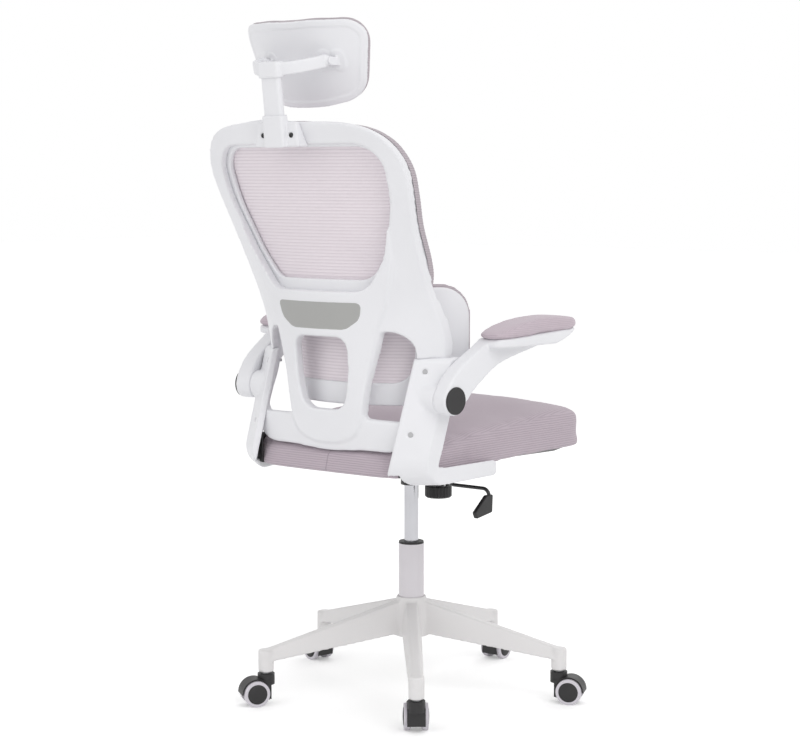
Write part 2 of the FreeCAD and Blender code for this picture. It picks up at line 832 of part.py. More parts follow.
def arm():
    hub = size("arm_hub_radius")
    hub_half = size("arm_hub_half")
    width = size("arm_beam_width")
    pad_length, pad_width = size("arm_pad_length"), size("arm_pad_width")
    pad_rear, pad_rise = 84, 2.8
    offset = size("arm_pad_offset")

    under = Part.BSplineCurve()
    under.interpolate([Vector(0, y, z) for y, z in (
        (22, -14), (51, 15), (78, 35), (112, 55), (160, 70), (215, 82), (275, 99), (314, 116),
    )])
    over = Part.BSplineCurve()
    over.interpolate([Vector(0, y, z) for y, z in ((96, 105), (69, 88), (20, 61), (-24, 12))])
    profile = Part.Wire([
        under.toShape(),
        Part.LineSegment(Vector(0, 314, 116), Vector(0, 96, 105)).toShape(),
        over.toShape(),
        Part.LineSegment(Vector(0, -24, 12), Vector(0, 22, -14)).toShape(),
    ])
    blade = Part.Face(profile).extrude(Vector(width, 0, 0))
    blade.translate(Vector(-width / 2 + 1.3, 0, 0))
    hub_shape = Part.makeCylinder(hub, 2 * hub_half, Vector(-hub_half, 0, 0), X_AXIS)
    wide = Part.Face(profile).extrude(Vector(pad_width, 0, 0))
    wide.translate(Vector(-pad_width / 2 + offset, 0, 0))
    plan = Part.Face(arm_plan(pad_length, pad_width, pad_rear, 3)).extrude(Vector(0, 0, 200))
    plan.translate(Vector(offset, 0, 0))
    flare = Part.Face(Part.makePolygon([
        Vector(-60, 84, 90), Vector(-60, 350, 90), Vector(-60, 350, 140), Vector(-60, 84, 140),
        Vector(-60, 84, 90),
    ])).extrude(Vector(160, 0, 0))
    pan = wide.common(plan).common(flare)
    trim = Part.makeBox(2 * hub_half, 500, 400, Vector(-hub_half, -80, -60))
    blade = blade.common(trim).fuse(pan).fuse(hub_shape).removeSplitter()
    bore = Part.makeCylinder(
        size("pivot_pin_radius") + size("running_gap"), 3 * hub_half, Vector(-1.5 * hub_half, 0, 0), X_AXIS)
    right = feature("beam_right", blade.cut(bore), arm_placement())
    node(right, "arm_beam_right")
    node(mirrored("beam_left", right), "arm_beam_left")

    pad_block = Part.Face(arm_plan(pad_length, pad_width, pad_rear, 0)).extrude(Vector(0, 0, 60))
    crown = Part.makeCylinder(
        620, 400, Vector(-200, pad_rear + pad_length * 0.58, 26 - 620), X_AXIS)
    soft = pad_block.common(crown)
    top = max(soft.Faces, key=lambda face: face.CenterOfMass.z)
    soft = soft.makeFillet(9, top.Edges)
    soft.rotate(Vector(0, pad_rear, 0), X_AXIS, pad_rise)
    soft.translate(Vector(offset, 0, 104.9))
    right_pad = feature("pad_right", soft, arm_placement())
    node(right_pad, "arm_pad_right")
    node(mirrored("pad_left", right_pad), "arm_pad_left")

    disc = Part.makeCylinder(hub - 2, 3, Vector(hub_half, 0, 0), X_AXIS)
    disc = disc.makeChamfer(1, [edge for edge in disc.Edges if edge.CenterOfMass.x > hub_half + 2])
    right_cap = feature("cap_right", disc, arm_placement())
    node(right_cap, "arm_cap_right")
    node(mirrored("cap_left", right_cap), "arm_cap_left")


def pivot_pins():
    inner = size("bracket_thick") + 6
    pin = Part.makeCylinder(
        size("pivot_pin_radius"), inner + 2 * size("arm_hub_half") - 0.4,
        Vector(-size("arm_hub_half") - inner, 0, 0), X_AXIS)
    pin.Placement = arm_placement()
    group_shape = Part.makeCompound([pin, pin.mirror(Vector(), X_AXIS)])
    node(feature("pivot_pins", group_shape), "arm_pivot_pins")


# Right bracket: upright wrapped round the back corner, boss for the arm, and a foot under the seat
REAR_FACE = Vector(-0.612, 0.791, 0).normalize()
SIDE_FACE = Vector(-0.993, 0.117, 0).normalize()


def bracket_edges(height):
    """Rear edge, corner and front edge of the upright's outside in plan, leaning forward as it rises."""
    lean = (height - 552) / 111
    shift = Vector(-3 * lean, -40 * lean, height)
    return [Vector(x, y, 0) + shift for x, y in ((-166, 266), (-219, 225), (-223, 191))]


def bracket_inner_edges(height):
    """The same three edges on the inside of the wall."""
    rear_edge, corner, front_edge = bracket_edges(height)
    thick = size("bracket_thick")
    inward_rear, inward_side = REAR_FACE * -thick, SIDE_FACE * -thick
    return [rear_edge + inward_rear, corner + (inward_rear + inward_side) * 0.56, front_edge + inward_side]


def bracket_loft(section):
    """Solid between the sections of the lowest and highest level."""
    wires = []
    for height in (size("bracket_low") - 1, size("bracket_top") + 1):
        points = section(height)
        wires.append(Part.makePolygon(points + points[:1]))
    return Part.makeLoft(wires, True, True)


def bracket_wall(height):
    return bracket_edges(height) + bracket_inner_edges(height)[::-1]


def bracket_room_section(height):
    """Outside of the wall and a little beyond its inner face, where no cushion can be."""
    clearance = 0.5
    inner = [point - (REAR_FACE + SIDE_FACE) * clearance for point in bracket_inner_edges(height)]
    outer = [point + SIDE_FACE * 60 + REAR_FACE * 60 for point in bracket_edges(height)]
    return inner[::-1] + outer[:1] + outer[2:]


def bracket_inside(height):
    """Room enclosed by the wall, out to a line well inside the chair."""
    inner = bracket_inner_edges(height)
    deep = -60
    return inner + [Vector(deep, inner[2].y, height), Vector(deep, inner[0].y, height)]


def bracket_foot(grow):
    """Foot under the seat, or the room that it needs there."""
    low = size("bracket_low") - size("pivot_z")
    top = size("plate_low") + size("plate_thick") - size("pivot_z")
    foot = Part.makeBox(42 + 2 * grow, 260, top - low + grow, Vector(-58 - grow, -110, low))
    foot.Placement = arm_placement().multiply(foot.Placement)
    return foot


def bracket_shape():
    low, top, pivot = size("bracket_low"), size("bracket_top"), size("pivot_z")
    splay, hub_half = arm_placement(), size("arm_hub_half")
    foot_high = size("plate_low") + size("plate_thick") - pivot
    foot_front, lip_high = 149, foot_high + 13
    side = rounded_loop([
        (-150, low - pivot, 1),
        (foot_front, low + 5 - pivot, 8),
        (foot_front, lip_high, 8),
        (-10, lip_high, 14),
        (61, top - pivot, 10),
        (-150, top - pivot, 1),
    ])
    side_block = Part.Face(side).extrude(Vector(0, 140, 0))
    side_block.Placement = splay.multiply(Placement(Vector(), Rotation(Z_AXIS, 90)))
    low_edge, high_edge = bracket_edges(low)[0], bracket_edges(top)[0]
    rear = rounded_loop([
        (low_edge.dot(REAR_FACE), low, 44),
        (high_edge.dot(REAR_FACE), top, 14),
        (0, top, 1),
        (0, low, 1),
    ])
    rear_block = Part.Face(rear).extrude(Vector(0, 800, 0))
    rear_turn = math.degrees(math.atan2(REAR_FACE.y, REAR_FACE.x))
    rear_block.Placement = Placement(Vector(), Rotation(Z_AXIS, rear_turn)).multiply(
        Placement(Vector(0, -400, 0), Rotation()))
    foot = bracket_foot(0)
    lip = Part.makeBox(3.5, 200, 16, Vector(-19.6, -50, foot_high - 1))
    lip.Placement = splay.multiply(lip.Placement)
    rear_trim = bracket_loft(lambda height: bracket_edges(height) + [
        Vector(-270, 0, height), Vector(-60, 0, height), Vector(-60, 400, height)])
    foot = foot.common(rear_trim)
    wall = bracket_loft(bracket_wall)
    boss = Part.makeCone(31, size("arm_hub_radius") - 1, 44, Vector(-hub_half - 44.3, 0, 0), X_AXIS)
    boss.Placement = splay.multiply(boss.Placement)
    boss = boss.cut(bracket_loft(bracket_inside))
    whole = wall.fuse([foot, lip]).common(side_block).common(rear_block).fuse(boss)
    whole = max(whole.Solids, key=lambda solid: solid.Volume).removeSplitter()
    inner = size("bracket_thick") + 6.2
    pin_hole = Part.makeCylinder(
        size("pivot_pin_radius") + 0.02, inner + 20, Vector(-hub_half - inner, 0, 0), X_AXIS)
    pin_hole.Placement = splay.multiply(pin_hole.Placement)
    return whole.cut(pin_hole)


def back_screw_axes():
    """Right-hand screw places on the bracket's rear face, with the way their heads look."""
    return [(Vector(-189, 211, 663), REAR_FACE), (Vector(-186, 251, 552), REAR_FACE)]


def screw_shape(spot, outward, head_depth, grow):
    """Screw with its head sunk below the face that it enters."""
    head = Part.makeCylinder(5.2 + grow, head_depth + 4 + grow, spot - outward * (head_depth + 4), outward)
    shank = Part.makeCylinder(3 + grow, 23 + grow, spot - outward * (head_depth + 26 + grow), outward)
    whole = head.fuse(shank)
    if grow == 0:
        whole = whole.cut(Part.makeCylinder(7, 20, spot - outward * head_depth, outward))
    return whole


# Back: one curved shell cut to its outline, raised along the spine, with its openings
def back_layer(behind, depth):
    """Curved slab that follows the back, from behind its rear face to a depth in front of it."""
    wires = []
    for number in range(len(BACK_SECTIONS)):
        height, spine, half, wrap = (
            size(f"back_{word}_{number}") for word in ("height", "spine", "half", "wrap"))
        radius = (half * half + wrap * wrap) / (2 * wrap)
        centre_y = spine - radius
        reach = math.asin(half / radius) * 1.09

        def on_arc(offset, turn):
            ring = radius + offset
            return Vector(ring * math.sin(turn), centre_y + ring * math.cos(turn), height)

        rear, front = behind, behind - depth
        rear_arc = Part.Arc(on_arc(rear, -reach), on_arc(rear, 0), on_arc(rear, reach))
        front_arc = Part.Arc(on_arc(front, reach), on_arc(front, 0), on_arc(front, -reach))
        wires.append(Part.Wire([
            rear_arc.toShape(),
            Part.LineSegment(on_arc(rear, reach), on_arc(front, reach)).toShape(),
            front_arc.toShape(),
            Part.LineSegment(on_arc(front, -reach), on_arc(rear, -reach)).toShape(),
        ]))
    return Part.makeLoft(wires, True, False)


BACK_NEAR, BACK_FAR = 20, 480


def back_prism(half):
    return prism(mirrored_loop(half), BACK_NEAR, BACK_FAR)


def back_outline():
    top, low = size("back_top"), size("crossbar_low")
    return [
        (0, top), (105, top - 4), (158, top - 12), (194, top - 29), (215, top - 52), (226, top - 86),
        (223, 985), (214, 930), (208, 865), (205, 800), (210, 729), (206, 680), (200, 640), (192, 600),
        (183, 560), (160, low + 13), (100, low + 5), (0, low),
    ]


def mesh_outline(grow):
    top = size("back_top")
    return [
        (0, top + grow), (105, top - 4 + grow), (158 + grow, top - 12 + grow), (194 + grow, top - 29 + grow),
        (215 + grow, top - 52), (226 + grow, top - 86), (223 + grow, 985), (214 + grow, 930),
        (208 + grow, 865), (199 + grow, 826), (184, 809 - grow), (100, 806 - grow), (0, 806 - grow),
    ]


MESH_OPENING = [(192, 1072, 52), (188, 975, 200), (152, 872, 120), (108, 808, 50)]
RING_OPENING = [(182, 1068, 46), (178, 972, 190), (146, 876, 110), (108, 828, 44)]
LOOP_OPENING = [(60, 724, 22), (60, 655, 150), (48, 588, 32)]
INSERT_OUTLINE = [(97, 788, 8), (91, 758, 24), (62, 738, 34)]
SIDE_WINDOW = [(121, 736, 8), (172, 733, 40), (168, 572, 16), (84, 575, 8), (94, 640, 150)]


def spine_outline():
    """Raised loop: open curve down one side and up the other, closed across the mesh opening."""
    half = [(172, 935), (166, 890), (152, 827), (136, 778), (119, 743), (107, 700), (95, 649), (84, 587),
            (70, 548), (40, 530), (0, 526)]
    right = [Vector(-x, 0, z) for x, z in half]
    left = [Vector(x, 0, z) for x, z in reversed(half[:-1])]
    curve = Part.BSplineCurve()
    curve.interpolate(right + left)
    return Part.Wire([curve.toShape(), Part.LineSegment(left[-1], right[0]).toShape()])


def back():
    thick, raise_by = size("back_thick"), size("spine_raise")
    window = prism(rounded_loop([(-x, z, radius) for x, z, radius in SIDE_WINDOW]), BACK_NEAR, BACK_FAR)
    openings = [
        prism(rounded_mirror(MESH_OPENING), BACK_NEAR, BACK_FAR),
        prism(rounded_mirror(LOOP_OPENING), BACK_NEAR, BACK_FAR),
        window,
        window.mirror(Vector(), X_AXIS),
    ]
    spine = back_layer(raise_by, raise_by + 4).common(prism(spine_outline(), BACK_NEAR, BACK_FAR))
    frame = back_layer(0, thick).common(back_prism(back_outline())).fuse(spine)
    for opening in openings:
        frame = frame.cut(opening)

    insert_prism = prism(rounded_mirror(INSERT_OUTLINE), BACK_NEAR, BACK_FAR)
    recess = back_layer(raise_by + 12, 12 + 2.5).common(insert_prism)
    frame = frame.cut(recess)
    insert = back_layer(raise_by - 0.6, 1.7).common(insert_prism)

    bracket = bracket_shape()
    brackets = [bracket, bracket.mirror(Vector(), X_AXIS)]
    screws, screw_holes = [], []
    for spot, outward in back_screw_axes():
        screw, hole = screw_shape(spot, outward, 3, 0), screw_shape(spot, outward, 3, 0.05)
        screws += [screw, screw.mirror(Vector(), X_AXIS)]
        screw_holes += [hole, hole.mirror(Vector(), X_AXIS)]
    holes = Part.makeCompound(screw_holes)
    frame = frame.cut(Part.makeCompound(brackets)).cut(holes)
    frame = max(frame.Solids, key=lambda solid: solid.Volume)
    rail = lumbar_rail()
    frame = frame.fuse(rail).removeSplitter()

    stem_room, bracket_block = headrest_mount()
    head_screws, head_holes = [], []
    for x in (-32.3, 32.3):
        spot, outward = Vector(x, 397, 1086), Vector(0, 0.966, -0.259).normalize()
        head_screws.append(screw_shape(spot, outward, 3, 0))
        head_holes.append(screw_shape(spot, outward, 3, 0.05))
    frame = frame.cut(Part.makeCompound(head_holes))
    bracket_block = bracket_block.cut(back_layer(size("running_gap"), 60)).cut(stem_room)
    bracket_block = bracket_block.cut(Part.makeCompound(head_holes))
    bracket_block = max(bracket_block.Solids, key=lambda solid: solid.Volume)

    node(feature("frame", frame), "back_frame")
    node(feature("insert", insert), "spine_insert")
    node(feature("bracket_right", brackets[0].cut(holes)), "arm_bracket_right")
    node(feature("bracket_left", brackets[1].cut(holes)), "arm_bracket_left")
    node(feature("screws", Part.makeCompound(screws + head_screws)), "back_screws")
    node(feature("head_mount", bracket_block), "headrest_bracket")

    gap = size("running_gap")
    ring = back_layer(-thick - gap, size("ring_thick")).common(back_prism(mesh_outline(-3)))
    ring = ring.cut(prism(rounded_mirror(RING_OPENING), BACK_NEAR, BACK_FAR))
    node(feature("ring", ring), "back_mesh_ring")
    mesh = back_layer(-thick - size("ring_thick") - 2 * gap, size("mesh_thick"))
    mesh = mesh.common(back_prism(mesh_outline(0)))
    node(feature("mesh", mesh), "back_mesh")


# Lumbar support: a curved shell that slides on a rail in front of the spine
RAIL_HALF, RAIL_LOW, RAIL_HIGH = 14, 728, 806


def lumbar_rail():
    """T-shaped rail on the front of the spine."""
    front = size("lumbar_rear")
    long = RAIL_HIGH - RAIL_LOW
    stalk = Part.makeBox(2 * RAIL_HALF - 12, 60, long, Vector(6 - RAIL_HALF, front + 8, RAIL_LOW))
    head = Part.makeBox(2 * RAIL_HALF, 6, long, Vector(-RAIL_HALF, front + 8, RAIL_LOW))
    rail = stalk.fuse(head).cut(back_layer(40, 46))
    return max(rail.Solids, key=lambda solid: -solid.CenterOfMass.y)


def lumbar():
    radius, rear = size("lumbar_radius"), size("lumbar_rear")
    low, high = size("lumbar_low"), size("lumbar_high")
    half, thick, soft = size("lumbar_half"), size("lumbar_thick"), size("lumbar_pad")
    centre = Vector(0, rear - radius, low - 20)

    def band(outer, inner):
        tube = Part.makeCylinder(outer, high - low + 40, centre)
        return tube.cut(Part.makeCylinder(inner, high - low + 40, centre))

    look = 58
    reach = radius * math.sin(math.asin(half / radius) - math.radians(look))

    def end_outline(grow):
        """Side of the support with its round end, drawn square to the end and turned into place."""
        side = prism(rounded_loop([
            (-reach - grow, high + grow, 56),
            (-reach - grow, low + 86, 90),
            (30 - reach - grow, low - grow, 50),
            (2 * radius, low - grow, 1),
            (2 * radius, high + grow, 1),
        ]), 0, 2 * radius)
        side.Placement = Placement(Vector(0, centre.y, 0), Rotation(Z_AXIS, look))
        return side

    def face_outline(grow):
        right = end_outline(grow)
        half_room = Part.makeBox(600, 600, 600, Vector(-600, -100, low - 200))
        right = right.common(half_room)
        return right.fuse(right.mirror(Vector(), X_AXIS))

    shell = band(radius, radius - thick).common(face_outline(0))
    window = prism(rounded_mirror([(154, high - 28, 40), (140, low + 40, 34)]), centre.y, BACK_FAR)
    shell = shell.cut(window)
    carriage_low, carriage_high = RAIL_LOW + 20, RAIL_HIGH - 20
    bridge = Part.makeBox(56, 30, carriage_high - carriage_low, Vector(-28, rear - 5, carriage_low))
    below = carriage_low - 60
    slot = Part.makeBox(2 * RAIL_HALF + 0.6, 6.6, 200, Vector(-RAIL_HALF - 0.3, rear + 7.7, below))
    neck = Part.makeBox(2 * RAIL_HALF - 11.4, 60, 200, Vector(5.7 - RAIL_HALF, rear + 10, below))
    keep = Part.makeBox(56, 24, 200, Vector(-28, rear - 5, carriage_low - 60))
    carriage = bridge.common(keep).cut(slot).cut(neck)
    crossbar = band(radius, radius - thick).common(
        Part.makeBox(400, 300, carriage_high - carriage_low, Vector(-200, rear - 200, carriage_low)))
    shell = shell.fuse([crossbar.common(face_outline(0)), carriage]).removeSplitter()
    node(feature("lumbar_shell", shell), "lumbar_frame")

    front = band(radius - thick, radius - thick - soft).common(face_outline(3))
    node(feature("lumbar_front", front), "lumbar_mesh")


# Headrest: bracket on the back, sliding stem, yoke, and the padded shell that nods on it
def stem_axis():
    spot = Vector(0, size("head_stem_y"), size("head_stem_z"))
    return spot, Rotation(X_AXIS, -size("head_stem_lean"))


SLEEVE_WALL = 3


def stem_block(grow, low, high):
    """Flat bar of the stem between two distances along it."""
    wide, deep = size("head_stem_wide") + 2 * grow, size("head_stem_deep") + 2 * grow
    bar = Part.makeBox(wide, deep, high - low, Vector(-wide / 2, -deep / 2, low))
    bar = bar.makeFillet(5, [edge for edge in bar.Edges if abs(edge.tangentAt(0).z) > 0.9])
    bar.Placement = Placement(*stem_axis())
    return bar


def headrest_mount():
    """Room for the stem, and the bracket's outer form before it is seated on the back."""
    room = stem_block(0.1, -90, 60)
    face = Part.Face(Part.makePolygon([Vector(x, 330, z) for x, z in (
        (-50, 1067), (50, 1067), (44, 1110), (-44, 1110), (-50, 1067),
    )])).extrude(Vector(0, 67, 0))
    sleeve = stem_block(SLEEVE_WALL, -52, 4)
    return room, face.fuse(sleeve)


def headrest():
    node(feature("head_bar", stem_block(0, -48, 76)), "headrest_stem")

    pivot = Vector(0, size("head_pivot_y"), size("head_pivot_z"))
    reach = size("head_pivot_x")
    spot, lean = stem_axis()
    top = spot + lean.multVec(Vector(0, 0, 84))
    arch_lean = size("head_yoke_lean")
    sag = (top.y - pivot.y) / math.cos(math.radians(arch_lean))
    bow = (reach * reach + sag * sag) / (2 * sag)
    tall, half_thick = size("head_yoke_tall"), size("head_yoke_thick") / 2
    centre = top - Vector(0, bow, tall / 2)
    arch = Part.makeCylinder(bow + half_thick, tall, centre)
    arch = arch.cut(Part.makeCylinder(bow - half_thick, tall, centre))
    arch_room = Vector(-2 * reach, top.y - sag, centre.z - tall / 2)
    arch = arch.common(Part.makeBox(4 * reach, 200, 2 * tall, arch_room))
    arch.rotate(top, X_AXIS, -arch_lean)
    yoke = arch.fuse(stem_block(SLEEVE_WALL, 70, 97))
    barrel_half = 9
    for x in (-reach, reach):
        barrel = Part.makeCylinder(8.5, 2 * barrel_half, Vector(x - barrel_half, pivot.y, pivot.z), X_AXIS)
        yoke = yoke.fuse(barrel)
    yoke = yoke.removeSplitter().cut(stem_block(0.02, -48, 76))
    for x in (-reach, reach):
        yoke = yoke.cut(Part.makeCylinder(3.05, 40, Vector(x - 20, pivot.y, pivot.z), X_AXIS))
    node(feature("yoke", yoke), "headrest_yoke")

    radius, rear, tall = size("head_radius"), size("head_rear"), size("head_height")
    thick, soft = size("head_shell"), size("head_pad")
    middle = Vector(0, rear, size("head_middle"))
    base = Vector(0, rear - radius, middle.z - tall)

    def band(outer, inner):
        tube = Part.makeCylinder(outer, 2 * tall, base)
        return tube.cut(Part.makeCylinder(inner, 2 * tall, base))

    def face_outline(grow):
        high, low = middle.z + tall / 2 + grow, middle.z - tall / 2 - grow
        return prism(rounded_mirror([
            (50, high, 160),
            (size("head_half_top") + grow, high - size("head_crown"), 40),
            (size("head_half_low") + grow, low + 2, 44),
            (40, low - 5, 150),
        ]), rear - 140, rear + 40)

    def leaned(shape):
        shape.rotate(middle, X_AXIS, -size("head_lean"))
        return shape

    shell = leaned(band(radius, radius - thick).common(face_outline(0)))
    behind_shell = leaned(Part.makeCylinder(radius - thick / 2, 4 * tall, base - Vector(0, 0, tall)))
    for x in (-reach, reach):
        for side in (-1, 1):
            lug_x = x + side * (barrel_half + 2.4) - 2
            lug = Part.makeBox(4, 40, 15, Vector(lug_x, pivot.y - 40, pivot.z - 7.5))
            lug = lug.fuse(Part.makeCylinder(7.5, 4, Vector(lug_x, pivot.y, pivot.z), X_AXIS))
            shell = shell.fuse(lug.cut(behind_shell))
        shell = shell.fuse(Part.makeCylinder(3, 26, Vector(x - 13, pivot.y, pivot.z), X_AXIS))
    node(feature("head_shell", shell.removeSplitter()), "headrest_shell")

    front = band(radius - thick, radius - thick - soft).common(face_outline(-3))
    head_side = [
        face for face in front.Faces
        if abs(getattr(face.Surface, "Radius", 0) - (radius - thick - soft)) < 0.1
    ]
    front = front.makeFillet(14, head_side[0].Edges)
    node(feature("head_front", leaned(front)), "headrest_pad")


# Casters: hood with a fender between the wheels, axle, and two wheels that turn on their own
def caster(number, trail_turn):
    spot, angle = leg_place(number)
    where = Placement(spot, Rotation(Z_AXIS, angle + trail_turn))
    centre = Vector(size("caster_trail"), 0, size("wheel_radius"))
    gap = size("running_gap")

    def across(radius, half):
        return Part.makeCylinder(radius, 2 * half, centre - Vector(0, half, 0), Y_AXIS)

    fender = across(size("fender_radius"), size("fender_half"))
    neck = Part.makeCylinder(size("neck_radius"), size("neck_high") - 40, Vector(0, 0, 40))
    skirt = Part.makeBox(26, 2 * size("fender_half"), 34, Vector(-6, -size("fender_half"), 13))
    hood = fender.fuse([neck, skirt])
    inner_half = size("wheel_inner") - 0.8
    wheel_room = across(size("fender_radius") - size("fender_wall"), 40).cut(across(40, inner_half))
    below = Part.makeBox(80, 80, size("wheel_radius") - 1, Vector(centre.x + 4, -40, 0))
    floor_room = Part.makeBox(90, 80, 12, Vector(-30, -40, 0))
    stem_bore = Part.makeCylinder(size("stem_radius") + gap, 40, Vector(0, 0, size("neck_high") - 15.3))
    axle_bore = across(size("axle_radius") + 0.02, 60)
    hood = hood.cut([wheel_room, below, floor_room, stem_bore, axle_bore])
    hood = max(hood.Solids, key=lambda solid: solid.Volume).removeSplitter()
    name = f"caster_{number + 1}"

    wheel_far = size("wheel_inner") + size("wheel_wide")
    axle = across(size("axle_radius"), wheel_far - 3)
    pieces = {f"{name}_hood": hood, f"{name}_axle": axle}
    for side, sign in (("left", 1), ("right", -1)):
        pieces[f"{name}_wheel_{side}"] = wheel_shape(sign, centre)
    for label, shape in pieces.items():
        node(feature(label, shape, where), label)


def wheel_shape(sign, centre):
    """Turned wheel: a domed cap, a groove, and a round-shouldered tread."""
    radius, inner, wide = size("wheel_radius"), size("wheel_inner"), size("wheel_wide")
    bore = size("axle_radius") + size("running_gap")
    rim = radius - 6
    half = Part.Face(Part.makePolygon([Vector(r, 0, h) for r, h in (
        (bore, inner), (radius - 2, inner), (radius, inner + 2), (radius, inner + wide - 3.4),
        (radius - 2, inner + wide - 1.6), (rim + 0.8, inner + wide - 1.2), (rim, inner + wide - 2.4),
        (rim - 1, inner + wide - 1), (rim - 8, inner + wide), (0, inner + wide), (0, inner + wide - 2.5),
        (bore, inner + wide - 2.5), (bore, inner),
    )]))
    wheel = half.revolve(Vector(), Z_AXIS, 360)
    wheel.rotate(Vector(), X_AXIS, -90 if sign > 0 else 90)
    wheel.translate(centre)
    return wheel


five_star_base()
caster_stems()
gas_lift()
tilt_chassis()
tilt_pin()
seat_plate()
tension_parts()
height_lever()
seat()
arm()
pivot_pins()
back()
lumbar()
headrest()
OUTWARD, INWARD = 0, 180
NEAR_LEG = 1
for leg in range(int(SIZES["leg_count"])):
    caster(leg, INWARD if leg == NEAR_LEG else OUTWARD)
doc.recompute()

for obj in doc.Objects:
    if "Invalid" in obj.State or "Error" in obj.State:
        raise RuntimeError(f"{obj.Label} failed: {obj.State}")
for obj in NODES:
    if obj.Shape.isNull() or not obj.Shape.isValid() or not obj.Shape.Solids:
        raise RuntimeError(f"{obj.Label} has no sound solid")

os.makedirs("parts", exist_ok=True)
for obj in NODES:
    obj.Shape.exportStep(f"parts/{obj.Label}.step")
    print(f"{obj.Label}: {len(obj.Shape.Solids)} solid(s), {obj.Shape.Volume / 1000:.1f} cm3")
print(f"{len(NODES)} nodes")
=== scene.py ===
# %% [markdown]
# A mesh office chair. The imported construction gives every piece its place, and this lesson gives the
# pieces their looks: softly rounded mouldings, padded cushions, a ribbed mesh and the light of a studio.

# %% Load the construction
import json
import math

import bpy
from mathutils import Matrix, Vector
from mathutils.kdtree import KDTree


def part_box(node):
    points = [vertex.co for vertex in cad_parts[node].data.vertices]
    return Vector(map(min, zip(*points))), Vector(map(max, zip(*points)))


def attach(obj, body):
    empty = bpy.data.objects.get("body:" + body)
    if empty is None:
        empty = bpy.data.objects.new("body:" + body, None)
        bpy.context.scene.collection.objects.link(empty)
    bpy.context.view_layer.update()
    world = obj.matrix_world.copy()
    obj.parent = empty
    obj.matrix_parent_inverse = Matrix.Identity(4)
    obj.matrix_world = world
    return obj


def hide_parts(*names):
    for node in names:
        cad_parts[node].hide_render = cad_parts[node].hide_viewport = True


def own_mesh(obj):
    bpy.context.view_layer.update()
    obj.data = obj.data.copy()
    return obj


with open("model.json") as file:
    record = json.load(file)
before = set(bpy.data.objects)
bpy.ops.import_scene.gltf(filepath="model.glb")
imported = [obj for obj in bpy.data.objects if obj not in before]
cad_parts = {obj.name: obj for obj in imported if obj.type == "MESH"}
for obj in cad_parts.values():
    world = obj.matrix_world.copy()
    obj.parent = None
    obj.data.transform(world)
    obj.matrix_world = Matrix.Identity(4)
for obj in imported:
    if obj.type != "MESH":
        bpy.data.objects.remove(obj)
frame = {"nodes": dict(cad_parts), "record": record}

nodes = frame["nodes"]
slot_of = {row["node"]: row["material_slot"] for row in frame["record"]["subparts"]}
body_of = {node: body for body, rows in frame["record"]["behaviour"]["bodies"].items() for node in rows}
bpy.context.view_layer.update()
scene = bpy.context.scene
print("nodes loaded:", len(nodes))

# %% [markdown]
# The camera stands behind the chair, to the sitter's right, a little above the headrest's height and
# tipped down. Its place was worked out from the photograph's own perspective.

# %% Camera
VIEW_FROM = Vector((-2.2538, 3.0061, 1.0191))
HEADING = Vector((0.6046, -0.7965, 0))
TIP_DOWN = math.radians(5.93)
look = HEADING * math.cos(TIP_DOWN) - Vector((0, 0, math.sin(TIP_DOWN)))
camera = bpy.data.objects.new("Camera", bpy.data.cameras.new("Camera"))
camera.data.lens = 87.05
camera.data.sensor_width = 36
camera.data.sensor_fit = "HORIZONTAL"
camera.location = VIEW_FROM
camera.rotation_euler = look.to_track_quat("-Z", "Y").to_euler()
scene.collection.objects.link(camera)
scene.camera = camera
print("camera at", tuple(camera.location))

# %% [markdown]
# Every finish starts as one shader with its uniform numbers set on its sockets. The helpers below add
# what varies over a surface: patches of colour, uneven polish, grain and ribs, all from Object coordinates.

# %% Tools for finishes
def new_finish(name, roughness, metallic=0.0, sheen=0.0, coat=0.0):
    finish = bpy.data.materials.new(name)
    finish.use_nodes = True
    shader = finish.node_tree.nodes["Principled BSDF"]
    shader.inputs["Roughness"].default_value = roughness
    shader.inputs["Metallic"].default_value = metallic
    shader.inputs["Sheen Weight"].default_value = sheen
    shader.inputs["Sheen Roughness"].default_value = 0.45
    shader.inputs["Coat Weight"].default_value = coat
    shader.inputs["Coat Roughness"].default_value = 0.2
    return finish, shader


def add(finish, kind, **settings):
    """A new shader node with its properties set by name."""
    made = finish.node_tree.nodes.new("ShaderNode" + kind)
    for name, value in settings.items():
        setattr(made, name, value)
    return made


def join(finish, source, target):
    finish.node_tree.links.new(source, target)


def math_node(finish, operation, first, second=None):
    made = add(finish, "Math", operation=operation)
    for socket, value in zip(made.inputs, (first, second)):
        if isinstance(value, (int, float)):
            socket.default_value = value
        elif value is not None:
            join(finish, value, socket)
    return made.outputs[0]


def noise(finish, coords, scale, detail=3.0):
    made = add(finish, "TexNoise")
    made.inputs["Scale"].default_value = scale
    made.inputs["Detail"].default_value = detail
    join(finish, coords, made.inputs["Vector"])
    return made.outputs["Fac"]


def between(finish, amount, low, high):
    """Spreads an amount of 0.3 to 0.7, as noise gives it, over a range."""
    made = add(finish, "MapRange")
    for socket, value in (("From Min", 0.3), ("From Max", 0.7), ("To Min", low), ("To Max", high)):
        made.inputs[socket].default_value = value
    join(finish, amount, made.inputs["Value"])
    return made.outputs["Result"]


def mixed(finish, amount, first, second):
    made = add(finish, "Mix", data_type="RGBA")
    join(finish, amount, made.inputs["Factor"])
    made.inputs[6].default_value = (*first, 1)
    made.inputs[7].default_value = (*second, 1)
    return made.outputs[2]


def bump(finish, shader, height, distance):
    made = add(finish, "Bump")
    made.inputs["Distance"].default_value = distance
    made.inputs["Strength"].default_value = 1.0
    join(finish, height, made.inputs["Height"])
    join(finish, made.outputs["Normal"], shader.inputs["Normal"])


def shade(colour, amount):
    return tuple(channel * amount for channel in colour)


